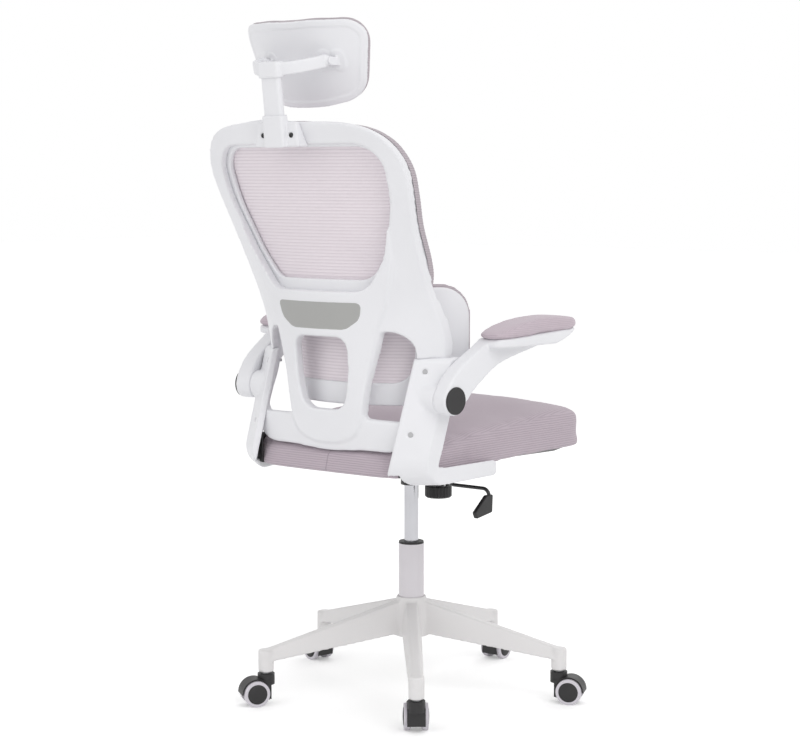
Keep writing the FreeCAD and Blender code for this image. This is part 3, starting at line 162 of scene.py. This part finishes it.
# %% [markdown]
# Moulded plastic is not one flat white: the flow of the melt leaves faint clouds, the satin texture of the
# mould breaks the reflections, and polish varies where hands and packing rub it. Metal gets the same care
# with a finer grain.

# %% Plastic and metal finishes
def moulded(name, colour, roughness, grain=900, depth=0.00006, coat=0.0, metallic=0.0):
    finish, shader = new_finish(name, roughness, metallic=metallic, coat=coat)
    coords = add(finish, "TexCoord").outputs["Object"]
    clouds = noise(finish, coords, 7, 2)
    join(finish, mixed(finish, clouds, shade(colour, 0.95), shade(colour, 1.03)), shader.inputs["Base Color"])
    polish = between(finish, noise(finish, coords, 22), roughness - 0.06, roughness + 0.06)
    join(finish, polish, shader.inputs["Roughness"])
    bump(finish, shader, noise(finish, coords, grain, 2), depth)
    return finish


FINISHES = {
    "white_plastic": moulded("white_plastic", (0.80, 0.80, 0.825), 0.42),
    "base_white": moulded("base_white", (0.78, 0.765, 0.765), 0.46),
    "grey_panel": moulded("grey_panel", (0.385, 0.385, 0.375), 0.5, 1400, 0.0001),
    "black_plastic": moulded("black_plastic", (0.016, 0.015, 0.016), 0.5, 1100, 0.0001),
    "black_metal": moulded("black_metal", (0.02, 0.02, 0.021), 0.38, 700, 0.00005),
    "column_silver": moulded("column_silver", (0.70, 0.67, 0.70), 0.42, 1500, 0.00004, metallic=0.2),
    "chrome": moulded("chrome", (0.52, 0.52, 0.545), 0.2, 500, 0.00001, metallic=1.0),
    "steel": moulded("steel", (0.46, 0.46, 0.47), 0.32, 900, 0.00003, metallic=1.0),
    "wheel": moulded("wheel", (0.66, 0.63, 0.68), 0.5, 800, 0.00006),
}
print("hard finishes:", len(FINISHES))

# %% [markdown]
# The covers are one family of ribbed knits: rounded ribs that run level round the chair, a thin darker line
# between them, and short cross threads along each rib. The colour follows the height of the ribs and threads,
# so the darker lines in the grooves are painted shade. On the flat top of the seat the ribs run fore and aft,
# so that finish takes its direction from which way the surface faces.

# %% Cloth finishes
TOP_FACING = 0.72
RIB_ROUNDNESS = 0.45
STITCH_LENGTH, THREAD_RISE = 0.0016, 0.12
SEAM_SIDE = 0.2


def knitted(name, colour, groove_shade, pitch, depth, top_runs=False, rear_seam=None):
    finish, shader = new_finish(name, 0.88, sheen=0.25)
    source = add(finish, "TexCoord")
    split = add(finish, "SeparateXYZ")
    join(finish, source.outputs["Object"], split.inputs[0])
    across = split.outputs["Z"]
    if top_runs:
        facing = add(finish, "SeparateXYZ")
        join(finish, source.outputs["Normal"], facing.inputs[0])
        on_top = math_node(finish, "GREATER_THAN", facing.outputs["Z"], TOP_FACING)
        other = math_node(finish, "SUBTRACT", 1.0, on_top)
        across = math_node(finish, "ADD", math_node(finish, "MULTIPLY", split.outputs["X"], on_top),
                           math_node(finish, "MULTIPLY", across, other))
    turn = math_node(finish, "MULTIPLY", across, 2 * math.pi / pitch)
    rib = math_node(finish, "ABSOLUTE", math_node(finish, "SINE", math_node(finish, "MULTIPLY", turn, 0.5)))
    crown = math_node(finish, "POWER", rib, RIB_ROUNDNESS)
    along = math_node(finish, "ADD", split.outputs["X"], split.outputs["Y"])
    stitch = math_node(finish, "SINE", math_node(finish, "MULTIPLY", along, 2 * math.pi / STITCH_LENGTH))
    threads = math_node(finish, "MULTIPLY", stitch, THREAD_RISE)
    height = math_node(finish, "ADD", crown, threads)
    clouds = noise(finish, source.outputs["Object"], 14)
    # Painted shade: the tone follows the height of the ribs and cross threads, so the colour is darkest in
    # the grooves between them.
    tone = math_node(finish, "MULTIPLY", math_node(finish, "ADD", height, -THREAD_RISE),
                     between(finish, clouds, 0.93, 1.03))
    # Along the rear seam the tone is set to nothing, so the seam takes the same darkest colour as the grooves
    # and has no ribs.
    if rear_seam:
        from_middle = math_node(finish, "ABSOLUTE", split.outputs["X"])
        off_seam = math_node(finish, "GREATER_THAN", from_middle, rear_seam)
        front = math_node(finish, "LESS_THAN", split.outputs["Y"], SEAM_SIDE)
        plain = math_node(finish, "MAXIMUM", off_seam, front)
        tone = math_node(finish, "MULTIPLY", tone, plain)
        height = math_node(finish, "MULTIPLY", height, plain)
    join(finish, mixed(finish, tone, groove_shade, colour), shader.inputs["Base Color"])
    bump(finish, shader, height, depth)
    return finish


RIB_PITCH = 0.006
# The mesh's pale colour is partly its own and partly painted light: it is set paler than the yarn to stand
# for light shining through the open knit.
FINISHES["mesh"] = knitted("mesh", (0.85, 0.785, 0.825), (0.66, 0.59, 0.635), RIB_PITCH, 0.0004)
FINISHES["seat_fabric"] = knitted(
    "seat_fabric", (0.53, 0.455, 0.505), (0.36, 0.30, 0.345), 0.0042, 0.0005, top_runs=True, rear_seam=0.0011)
FINISHES["arm_fabric"] = knitted(
    "arm_fabric", (0.58, 0.495, 0.545), (0.45, 0.38, 0.43), 0.0034, 0.0003, top_runs=True)
FINISHES["edge_binding"] = knitted("edge_binding", (0.50, 0.445, 0.48), (0.33, 0.29, 0.315), 0.0042, 0.0003)
for node, thing in nodes.items():
    thing.data.materials.clear()
    thing.data.materials.append(FINISHES[slot_of[node]])
print("finishes:", sorted(FINISHES))

# %% [markdown]
# Small tools for shaping. A copy of a construction solid is merged first, because it arrives as loose
# triangles. Everything is deselected before anything is picked, so an operator touches one piece only.

# %% Tools for shaping
MERGE = 1e-5


def pick(piece):
    bpy.ops.object.select_all(action="DESELECT")
    piece.select_set(True)
    bpy.context.view_layer.objects.active = piece


def finish_with(piece, kind, **settings):
    modifier = piece.modifiers.new(kind.title(), kind)
    for name, value in settings.items():
        setattr(modifier, name, value)
    pick(piece)
    bpy.ops.object.modifier_apply(modifier=modifier.name)


def copy_of(node, name):
    piece = bpy.data.objects.new(name, nodes[node].data.copy())
    scene.collection.objects.link(piece)
    pick(piece)
    bpy.ops.mesh.customdata_custom_splitnormals_clear()
    bpy.ops.object.mode_set(mode="EDIT")
    bpy.ops.mesh.select_all(action="SELECT")
    bpy.ops.mesh.remove_doubles(threshold=MERGE)
    bpy.ops.object.mode_set(mode="OBJECT")
    return piece


def edit_faces(piece, wanted):
    """Enters edit mode with only the faces that pass a test selected."""
    pick(piece)
    bpy.ops.object.mode_set(mode="EDIT")
    bpy.ops.mesh.select_mode(type="FACE")
    bpy.ops.mesh.select_all(action="DESELECT")
    bpy.ops.object.mode_set(mode="OBJECT")
    for face in piece.data.polygons:
        face.select = wanted(face)
    bpy.ops.object.mode_set(mode="EDIT")


def leave_edit():
    bpy.ops.object.mode_set(mode="OBJECT")


def settle(piece, body, slot, finish, *replaced):
    piece.data.materials.clear()
    piece.data.materials.append(FINISHES[finish])
    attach(piece, body)
    if replaced:
        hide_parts(*replaced)
    print(piece.name, "faces:", len(piece.data.polygons))


# %% [markdown]
# The white mouldings come out of a polished tool with soft, generous edges. Sharp construction solids can be
# bevelled edge by edge, but on shells with many openings that breaks, so each is rebuilt on a fine grid of
# voxels and relaxed, which rounds every edge by a few millimetres and leaves the broad faces where they are.
# Relaxing thins a slim piece, so some are swelled again by under a millimetre, which also closes the joint
# between the back's shell and its carrier ring. The ring's foot is drawn down behind the shell's lower lip,
# and the lumbar's hem to where the photograph shows it.

# %% Rounded mouldings
def rounded(piece, voxel, rounds, swell=0.0):
    finish_with(piece, "REMESH", mode="VOXEL", voxel_size=voxel)
    finish_with(piece, "SMOOTH", factor=0.5, iterations=rounds)
    pick(piece)
    if swell:
        bpy.ops.object.mode_set(mode="EDIT")
        bpy.ops.mesh.select_all(action="SELECT")
        bpy.ops.transform.shrink_fatten(value=swell)
        bpy.ops.object.mode_set(mode="OBJECT")
    bpy.ops.object.shade_smooth()


MOULDINGS = {
    "back_frame": (0.0026, 9, 0.0002), "five_star_base": (0.0024, 5, 0),
    "back_mesh_ring": (0.0018, 4, 0.001),
    "arm_bracket_left": (0.002, 7, 0), "arm_bracket_right": (0.002, 7, 0),
    "arm_beam_left": (0.0022, 18, 0.0006), "arm_beam_right": (0.0022, 18, 0.0006),
    "lumbar_frame": (0.0018, 5, 0.0002), "headrest_bracket": (0.0014, 12, 0.0003),
    "headrest_yoke": (0.0015, 12, 0.0006), "headrest_stem": (0.0014, 6, 0),
}
RING_FOOT, RING_TUCK = 0.824, 0.009
HEM_DROP, HEM_FROM, HEM_REACH = 0.008, 0.72, 0.1


def ease(value):
    value = min(max(value, 0.0), 1.0)
    return value * value * (3 - 2 * value)


def lower_hem(piece):
    """Draws the lumbar's lower part down to where its hem hangs."""
    for point in piece.data.vertices:
        point.co.z -= HEM_DROP * ease((HEM_FROM - point.co.z) / HEM_REACH)


for node, (voxel, rounds, swell) in MOULDINGS.items():
    moulding = copy_of(node, node + "_moulding")
    rounded(moulding, voxel, rounds, swell)
    if node == "back_mesh_ring":
        for point in moulding.data.vertices:
            point.co.z -= RING_TUCK * ease((RING_FOOT - point.co.z) / RING_TUCK)
    if node == "lumbar_frame":
        lower_hem(moulding)
    settle(moulding, body_of[node], slot_of[node], slot_of[node], node)

# %% [markdown]
# The headrest's shell has a low raised rim round its rear face. After rounding, each point of the rear face
# looks up how far it is from the shell's edge, and those further in than the rim's width are pressed in.

# %% Headrest shell
RIM_WIDTH, RIM_SLOPE, RIM_DEPTH = 0.009, 0.006, 0.0016
REAR_FROM, REAR_SLOPE = 0.25, 0.3
EDGE_FACING = 0.35
HEAD_LEAN = math.radians(23)
HEAD_REAR = Vector((0, math.cos(HEAD_LEAN), -math.sin(HEAD_LEAN)))


def headrest_facing(spot):
    return HEAD_REAR


def edge_finder(piece, facing):
    """A search tree of the points that face sideways, which are those along a thin piece's edge."""
    spots = []
    for point in piece.data.vertices:
        if abs(point.normal.dot(facing(point.co))) < EDGE_FACING:
            spots.append(point.co.copy())
    finder = KDTree(len(spots))
    for index, spot in enumerate(spots):
        finder.insert(spot, index)
    finder.balance()
    return finder


head_shell = copy_of("headrest_shell", "headrest_shell_moulding")
rounded(head_shell, 0.0014, 5)
edge = edge_finder(head_shell, headrest_facing)
presses = []
for point in head_shell.data.vertices:
    inside = ease((edge.find(point.co)[2] - RIM_WIDTH) / RIM_SLOPE)
    on_rear = ease((point.normal.dot(HEAD_REAR) - REAR_FROM) / REAR_SLOPE)
    presses.append(RIM_DEPTH * inside * on_rear)
for point, press in zip(head_shell.data.vertices, presses):
    point.co -= HEAD_REAR * press
settle(head_shell, "headrest", "white_plastic", "white_plastic", "headrest_shell")

# %% [markdown]
# Two socket screws hold the headrest's bracket, one on each side of the stem. Their black finish is partly
# their own dark metal and partly painted shade, standing for the shade deep in the bracket's holes. One is
# modelled on its own axis, with a pit for the key, and a copy is put into each hole of the bracket.

# %% Headrest screws
SCREW_RADIUS, SCREW_DEPTH = 0.0045, 0.0024
SCREW_PLACE = Vector((0.0323, 0.397, 1.086))
SCREW_FACING = Vector((0, 0.966, -0.259)).normalized()
SCREW_SUNK = 0.0016
SOCKET_RIM, SOCKET_WALL, SOCKET_DEPTH = 0.0019, 0.0002, 0.0015
bpy.ops.object.select_all(action="DESELECT")
bpy.ops.mesh.primitive_cylinder_add(vertices=48, radius=SCREW_RADIUS, depth=SCREW_DEPTH)
screw = bpy.context.object
edit_faces(screw, lambda face: face.normal.z > 0.9)
bpy.ops.mesh.inset(thickness=SOCKET_RIM, depth=0)
bpy.ops.mesh.inset(thickness=SOCKET_WALL, depth=-SOCKET_DEPTH)
leave_edit()
finish_with(screw, "BEVEL", width=0.0003, segments=2, limit_method="ANGLE", angle_limit=math.radians(50))
pick(screw)
bpy.ops.object.shade_smooth_by_angle(angle=math.radians(35))
for word, side in (("left", 1), ("right", -1)):
    spot = Vector((side * SCREW_PLACE.x, SCREW_PLACE.y, SCREW_PLACE.z)) - SCREW_FACING * SCREW_SUNK
    turned = bpy.data.objects.new("headrest_screw_" + word, screw.data.copy())
    place = Matrix.Translation(spot) @ SCREW_FACING.to_track_quat("Z", "Y").to_matrix().to_4x4()
    turned.data.transform(place)
    scene.collection.objects.link(turned)
    # The black finish here is partly painted shade for the deep holes the screws sit in.
    settle(turned, body_of["headrest_bracket"], "black_metal", "black_metal")
bpy.data.objects.remove(screw)

# %% [markdown]
# The tension spring stands on the knob's bolt under the tilt housing. As the seat rocks back, the bolt rises
# and the spring is pressed against the housing. Its copy is the coil at rest, shaded smooth and parented to
# the spring's body.

# %% Tension spring
spring = copy_of("tension_spring", "tension_spring_coil")
bpy.ops.object.shade_smooth_by_angle(angle=math.radians(40))
spring_slot = slot_of["tension_spring"]
settle(spring, body_of["tension_spring"], spring_slot, spring_slot, "tension_spring")
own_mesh(spring)

# %% [markdown]
# Cushions are made as an upholsterer fills them: a slightly small bag is blown up by cloth pressure, so it
# crowns in the middle and pulls in between its corners. A cap stops it before it reaches its neighbours, and
# what rests on a board stays flat.

# %% Filling a cushion
FILL_STEPS = 14


def plump(piece, voxel, cap, pressure=4.0, flat_below=None):
    finish_with(piece, "REMESH", mode="VOXEL", voxel_size=voxel)
    finish_with(piece, "SMOOTH", factor=0.5, iterations=3)
    rest = [point.co.copy() for point in piece.data.vertices]
    cloth = piece.modifiers.new("Cloth", "CLOTH")
    cloth.settings.use_pressure = True
    cloth.settings.uniform_pressure_force = pressure
    cloth.settings.effector_weights.gravity = 0
    for step in range(1, FILL_STEPS + 1):
        scene.frame_set(step)
    pick(piece)
    bpy.ops.object.modifier_apply(modifier=cloth.name)
    scene.frame_set(1)
    furthest = 0.0
    for point, start in zip(piece.data.vertices, rest):
        move = point.co - start
        if flat_below is not None and start.z < flat_below(start):
            move = Vector()
        if move.length > cap:
            move = move.normalized() * cap
        furthest = max(furthest, move.length)
        point.co = start + move
    finish_with(piece, "SMOOTH", factor=0.5, iterations=2)
    finish_with(piece, "SUBSURF", levels=1, render_levels=1)
    pick(piece)
    bpy.ops.object.shade_smooth()
    print(piece.name, "filled by", round(furthest * 1000, 1), "mm")


# %% [markdown]
# The seat is a foam block in a knitted cover, on a black board. A boxing strip runs round its side and is
# joined at the middle of the rear, where the photograph shows an upright seam. The foam is fuller along the
# front than its construction block, so the top is raised and pushed out there, and the cover hangs a little
# lower at the rear.

# %% Seat cushion
FRONT_FILL, FILL_FROM, FILL_SLOPE = 0.012, -0.03, 0.18
FRONT_PUSH, PUSH_FROM, PUSH_SLOPE = 0.006, -0.14, 0.08
REAR_DROP, DROP_FROM, DROP_SLOPE = 0.007, 0.222, 0.03
SEAM_WIDTH, SEAM_DEPTH, SEAM_FROM = 0.004, 0.0012, 0.18
LOWER_PART = 0.03
FLAT_PART, BOARD_RISE, SEAT_REAR = 0.014, 0.024, 0.264
seat = copy_of("seat_cushion", "seat_cushion_cover")
seat_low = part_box("seat_cushion")[0]


def board_level(point):
    """Height below which the cushion lies flat on its board, which rises towards the front."""
    return seat_low.z + FLAT_PART - BOARD_RISE * (point.y - SEAT_REAR)


plump(seat, 0.008, 0.006, flat_below=board_level)
for point in seat.data.vertices:
    above = ease((point.co.z - seat_low.z - LOWER_PART) / LOWER_PART)
    point.co.z += FRONT_FILL * above * ease((FILL_FROM - point.co.y) / FILL_SLOPE)
    point.co.y -= FRONT_PUSH * above * ease((PUSH_FROM - point.co.y) / PUSH_SLOPE)
    point.co.z -= REAR_DROP * (1 - above) * ease((point.co.y - DROP_FROM) / DROP_SLOPE)
    if point.co.y > SEAM_FROM:
        point.co.y -= SEAM_DEPTH * math.exp(-(point.co.x / SEAM_WIDTH) ** 2)
settle(seat, "seat", "seat_fabric", "seat_fabric", "seat_cushion")

# %% [markdown]
# The board under the cushion is a shallow black tray. Its lower face is drawn in, so that its sides slope
# and the cushion hides them. At each rear corner it has a lip with a low black wall, which fills the dark
# strip between the cushion and the white bracket. The wall is partly the board's own edge and partly painted
# shade: a black piece standing for the shade in that gap. The wall is part of a tube, and its lower edge is
# drawn in until the lip meets the tray.

# %% Seat board
TRAY_SLOPE, TRAY_RIM = 0.026, 0.16
WALL_RADIUS, WALL_THICKNESS = 0.0595, 0.003
WALL_FOOT, WALL_TOP = 0.4735, 0.523
WALL_MIDDLE = Vector((0.143, 0.199, (WALL_FOOT + WALL_TOP) / 2))
WALL_INNER_END, WALL_OUTER_END = 0.018, -0.008
LIP_SHARE = 0.55


# Painted shade, in part: a black wall that fills the shaded gap between the cushion's rear corner and the
# bracket.
def lip_and_shade_wall(side):
    centre = Vector((side * WALL_MIDDLE.x, WALL_MIDDLE.y, WALL_MIDDLE.z))
    bpy.ops.object.select_all(action="DESELECT")
    bpy.ops.mesh.primitive_cylinder_add(
        vertices=96, radius=WALL_RADIUS, depth=WALL_TOP - WALL_FOOT, end_fill_type="NOTHING", location=centre)
    wall = bpy.context.object
    bpy.ops.object.transform_apply(location=True, rotation=False, scale=False)
    edit_faces(wall, lambda face: (
        side * (face.center.x - centre.x) < WALL_INNER_END
        or face.center.y < centre.y + WALL_OUTER_END))
    bpy.ops.mesh.delete(type="FACE")
    leave_edit()
    for edge in wall.data.edges:
        edge.select = all(wall.data.vertices[end].co.z < WALL_MIDDLE.z for end in edge.vertices)
    bpy.ops.object.mode_set(mode="EDIT")
    bpy.ops.mesh.select_mode(type="EDGE")
    bpy.ops.mesh.extrude_edges_move()
    bpy.ops.transform.resize(value=(LIP_SHARE, LIP_SHARE, 1), center_override=centre)
    bpy.ops.mesh.select_all(action="SELECT")
    bpy.ops.mesh.normals_make_consistent(inside=False)
    leave_edit()
    finish_with(wall, "SOLIDIFY", thickness=WALL_THICKNESS, offset=0)
    finish_with(wall, "BEVEL", width=0.0007, segments=2, limit_method="ANGLE", angle_limit=math.radians(50))
    return wall


board = copy_of("seat_pan", "seat_pan_tray")
board_low, board_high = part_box("seat_pan")
board_middle = (board_low + board_high) / 2
inward = []
for point in board.data.vertices:
    out = Vector((point.co.x - board_middle.x, point.co.y - board_middle.y, 0))
    rim = out.length > TRAY_RIM and point.normal.dot(out.normalized()) > 0.25 and point.normal.z < -0.2
    inward.append(out.normalized() * TRAY_SLOPE if rim else Vector())
for point, move in zip(board.data.vertices, inward):
    point.co -= move
print("sloped rim points:", sum(move.length > 0 for move in inward))
finish_with(board, "BEVEL", width=0.002, segments=2, limit_method="ANGLE", angle_limit=math.radians(50))
walls = [lip_and_shade_wall(side) for side in (1, -1)]
pick(board)
for wall in walls:
    wall.select_set(True)
bpy.ops.object.join()
bpy.ops.object.shade_smooth_by_angle(angle=math.radians(35))
settle(board, "seat", slot_of["seat_pan"], slot_of["seat_pan"], "seat_pan")

# %% [markdown]
# Each arm carries a slim pad in the same knit, fullest in the middle and thin at both ends.

# %% Arm pads
for side in ("left", "right"):
    arm_pad = copy_of("arm_pad_" + side, f"arm_pad_{side}_cover")
    plump(arm_pad, 0.005, 0.003)
    settle(arm_pad, "arm_" + side, "arm_fabric", "arm_fabric", "arm_pad_" + side)

# %% [markdown]
# The headrest's pad and the lumbar's pad are thin foam under the mesh, held by their white shells. The cover
# is pulled round the edge of each shell, so the pads are spread sideways until they stand just proud of it,
# and a band along the edge takes the darker tone of the binding.

# %% Headrest and lumbar pads
LUMBAR_MIDDLE = Vector((0, 0.005, 0))
BINDING = 0.008


def lumbar_facing(spot):
    return Vector((spot.x, spot.y - LUMBAR_MIDDLE.y, 0)).normalized()


for node, facing, proud, above in (
        ("headrest_pad", headrest_facing, 0.0042, 0.0), ("lumbar_mesh", lumbar_facing, 0.0045, 0.65)):
    pad = copy_of(node, node + "_cover")
    plump(pad, 0.0045, 0.002)
    if node == "lumbar_mesh":
        lower_hem(pad)
    sideways = []
    for point in pad.data.vertices:
        outward = facing(point.co)
        sideways.append(point.normal - outward * point.normal.dot(outward))
    for point, side in zip(pad.data.vertices, sideways):
        if point.co.z > above:
            point.co += side * proud
    settle(pad, body_of[node], slot_of[node], "mesh", node)
    pad.data.materials.append(FINISHES["edge_binding"])
    edge = edge_finder(pad, facing)
    for face in pad.data.polygons:
        face.material_index = int(face.center.z > above and edge.find(face.center)[2] < BINDING)

# %% [markdown]
# The back's mesh is a sheet stretched over its carrier. Its ribs are real: a grid is given one row for each
# quarter of a rib, laid on the back's curve, and pushed in and out along the rows. The edge is then turned
# back over the carrier, which is the thin mauve line that shows round the white frame.

# %% Back mesh
RIB_RISE = 0.0004
TURN_BACK = 0.013
BINDING_EDGE = 0.003
SHEET_BEHIND = -0.0256
BACK_SECTIONS = [
    (0.786, 0.293, 0.205, 0.084), (0.865, 0.309, 0.208, 0.060), (0.930, 0.331, 0.214, 0.050),
    (1.020, 0.357, 0.226, 0.038), (1.075, 0.374, 0.227, 0.032), (1.125, 0.389, 0.227, 0.028),
]
SHEET_EDGE = [
    (0.806, 0.170), (0.811, 0.187), (0.826, 0.199), (0.865, 0.208), (0.930, 0.214), (0.985, 0.223),
    (1.028, 0.226), (1.062, 0.215), (1.085, 0.194), (1.101, 0.158), (1.108, 0.105), (1.1115, 0.040),
]


def read_off(rows, height):
    """The values of a table of rows at a height, on a smooth curve through its rows."""
    last = len(rows) - 1
    start = 0
    while start < last - 1 and height > rows[start + 1][0]:
        start += 1
    lower, upper = rows[start], rows[start + 1]
    before, after = rows[max(start - 1, 0)], rows[min(start + 2, last)]
    gap = upper[0] - lower[0]
    share = min(max((height - lower[0]) / gap, 0.0), 1.0)
    values = []
    for column in range(1, len(lower)):
        leave = (upper[column] - before[column]) / (upper[0] - before[0]) * gap
        arrive = (after[column] - lower[column]) / (after[0] - lower[0]) * gap
        climb = upper[column] - lower[column]
        bend = share * (1 - share) * ((leave - climb) * (1 - share) - (arrive - climb) * share)
        values.append(lower[column] + climb * share + bend)
    return values


def on_back(x, z, behind):
    spine, half, wrap = read_off(BACK_SECTIONS, z)
    radius = (half * half + wrap * wrap) / (2 * wrap)
    return Vector((x, spine - radius + math.sqrt((radius + behind) ** 2 - x * x), z))


sheet_low, sheet_high = SHEET_EDGE[0][0], SHEET_EDGE[-1][0]
bpy.ops.object.select_all(action="DESELECT")
bpy.ops.mesh.primitive_grid_add(
    x_subdivisions=60, y_subdivisions=round((sheet_high - sheet_low) / RIB_PITCH * 4), size=1)
back_mesh = bpy.context.object
back_mesh.name = "back_mesh_sheet"
for point in back_mesh.data.vertices:
    height = sheet_low + (point.co.y + 0.5) * (sheet_high - sheet_low)
    half = read_off(SHEET_EDGE, height)[0]
    rib = RIB_RISE * math.cos(2 * math.pi * height / RIB_PITCH)
    point.co = on_back(2 * point.co.x * half, height, SHEET_BEHIND - 0.0012 + rib)
pick(back_mesh)
bpy.ops.object.mode_set(mode="EDIT")
bpy.ops.mesh.select_mode(type="EDGE")
bpy.ops.mesh.select_all(action="DESELECT")
bpy.ops.mesh.select_non_manifold()
bpy.ops.mesh.extrude_edges_move(TRANSFORM_OT_translate={"value": (0, TURN_BACK, 0)})
bpy.ops.mesh.select_all(action="SELECT")
bpy.ops.mesh.normals_make_consistent(inside=False)
bpy.ops.object.mode_set(mode="OBJECT")
finish_with(back_mesh, "SOLIDIFY", thickness=0.0012, offset=0)
pick(back_mesh)
bpy.ops.object.shade_smooth_by_angle(angle=math.radians(50))
settle(back_mesh, "seat", "mesh", "mesh", "back_mesh")
back_mesh.data.materials.append(FINISHES["edge_binding"])
for face in back_mesh.data.polygons:
    half = read_off(SHEET_EDGE, face.center.z)[0]
    inside = min(half - abs(face.center.x), face.center.z - sheet_low, sheet_high - face.center.z)
    face.material_index = int(inside < BINDING_EDGE)

# %% [markdown]
# A caster wheel has a pale tread over a black centre. One wheel is modelled on its axis from a cylinder:
# its outer face is inset into a tread band, a groove and a low dome, and its inner face into a hub. Copies go
# to the ten places, each turned to its own axle.

# %% Caster wheels
WHEEL_RADIUS, WHEEL_WIDTH = 0.025, 0.0124
CAP_RADIUS = 0.0192
OUTER_STEPS = [(0.0054, 0), (0.0006, -0.001), (0.0012, 0.001), (0.0035, 0.0011), (0.0075, 0.0006)]
INNER_STEPS = [(0.005, 0), (0.0008, -0.003), (0.008, 0)]
bpy.ops.object.select_all(action="DESELECT")
bpy.ops.mesh.primitive_cylinder_add(vertices=72, radius=WHEEL_RADIUS, depth=WHEEL_WIDTH)
wheel = bpy.context.object
for direction, steps in ((1, OUTER_STEPS), (-1, INNER_STEPS)):
    edit_faces(wheel, lambda face: face.normal.z * direction > 0.9 and face.center.xy.length < 0.001)
    for width, rise in steps:
        bpy.ops.mesh.inset(thickness=width, depth=rise)
    leave_edit()
finish_with(wheel, "BEVEL", width=0.0012, segments=3, limit_method="ANGLE", angle_limit=math.radians(60))
pick(wheel)
bpy.ops.object.shade_smooth_by_angle(angle=math.radians(35))
wheel.data.materials.append(FINISHES["wheel"])
wheel.data.materials.append(FINISHES["black_plastic"])
for face in wheel.data.polygons:
    face.material_index = int(face.center.xy.length < CAP_RADIUS)
for number in range(1, 6):
    middle = {}
    for side in ("left", "right"):
        low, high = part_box(f"caster_{number}_wheel_{side}")
        middle[side] = (low + high) / 2
    for side, other in (("left", "right"), ("right", "left")):
        outward = (middle[side] - middle[other]).normalized()
        place = Matrix.Translation(middle[side]) @ outward.to_track_quat("Z", "Y").to_matrix().to_4x4()
        turned = bpy.data.objects.new(f"caster_{number}_tyre_{side}", wheel.data.copy())
        turned.data.transform(place)
        scene.collection.objects.link(turned)
        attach(turned, f"caster_{number}_{side}")
        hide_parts(f"caster_{number}_wheel_{side}")
bpy.data.objects.remove(wheel)
print("wheels: 10")

# %% [markdown]
# The chair stands on a pale floor in soft light from all round. The white of the background is the sky as the
# camera and the reflections see it, so it adds no light to the chair. The floor's own glow is seen by them
# only, too, and keeps it near white without washing out the shadow.

# %% Floor and light
bpy.ops.object.select_all(action="DESELECT")
bpy.ops.mesh.primitive_plane_add(size=40)
floor = bpy.context.object
floor.name = "studio_floor"
FLOOR_GLOW = 0.27
floor_finish, floor_shader = new_finish("studio_floor", 0.9)
floor_coords = add(floor_finish, "TexCoord").outputs["Object"]
floor_clouds = noise(floor_finish, floor_coords, 3)
floor_tone = mixed(floor_finish, floor_clouds, (0.93, 0.93, 0.93), (0.95, 0.95, 0.95))
join(floor_finish, floor_tone, floor_shader.inputs["Base Color"])
glow = add(floor_finish, "Emission")
rays = add(floor_finish, "LightPath").outputs
mirrored = math_node(floor_finish, "MAXIMUM", rays["Is Glossy Ray"], rays["Is Transmission Ray"])
seen_floor = math_node(floor_finish, "MAXIMUM", rays["Is Camera Ray"], mirrored)
join(floor_finish, math_node(floor_finish, "MULTIPLY", seen_floor, FLOOR_GLOW), glow.inputs["Strength"])
both = add(floor_finish, "AddShader")
join(floor_finish, floor_shader.outputs[0], both.inputs[0])
join(floor_finish, glow.outputs[0], both.inputs[1])
join(floor_finish, both.outputs[0], floor_finish.node_tree.nodes["Material Output"].inputs["Surface"])
floor.data.materials.append(floor_finish)


def lamp(name, place, aim, size, power):
    light = bpy.data.lights.new(name, "AREA")
    light.size = size
    light.energy = power
    thing = bpy.data.objects.new(name, light)
    thing.location = place
    thing.rotation_euler = (Vector(aim) - Vector(place)).to_track_quat("-Z", "Y").to_euler()
    scene.collection.objects.link(thing)


MIDDLE = (0, 0.1, 0.7)
lamp("key", (-2.6, 1.2, 2.8), MIDDLE, 2.2, 30)
lamp("fill", (1.2, 3.2, 1.9), MIDDLE, 2.4, 12)
lamp("front", (0.6, -3.0, 2.6), MIDDLE, 2.4, 18)
world = bpy.data.worlds.new("studio")
scene.world = world
world.use_nodes = True
tree = world.node_tree
sky = tree.nodes["Background"]
sky.inputs["Color"].default_value = (1, 1, 1, 1)
path = tree.nodes.new("ShaderNodeLightPath")
AMBIENT = 0.78
seen = tree.nodes.new("ShaderNodeMath")
seen.operation = "MAXIMUM"
tree.links.new(path.outputs["Is Camera Ray"], seen.inputs[0])
tree.links.new(path.outputs["Is Glossy Ray"], seen.inputs[1])
strength = tree.nodes.new("ShaderNodeMapRange")
strength.inputs["To Min"].default_value = AMBIENT
strength.inputs["To Max"].default_value = 1.0
through = tree.nodes.new("ShaderNodeMath")
through.operation = "MAXIMUM"
tree.links.new(seen.outputs[0], through.inputs[0])
tree.links.new(path.outputs["Is Transmission Ray"], through.inputs[1])
tree.links.new(through.outputs[0], strength.inputs["Value"])
tree.links.new(strength.outputs["Result"], sky.inputs["Strength"])
scene.view_settings.view_transform = "Standard"
print("lamps: 3")
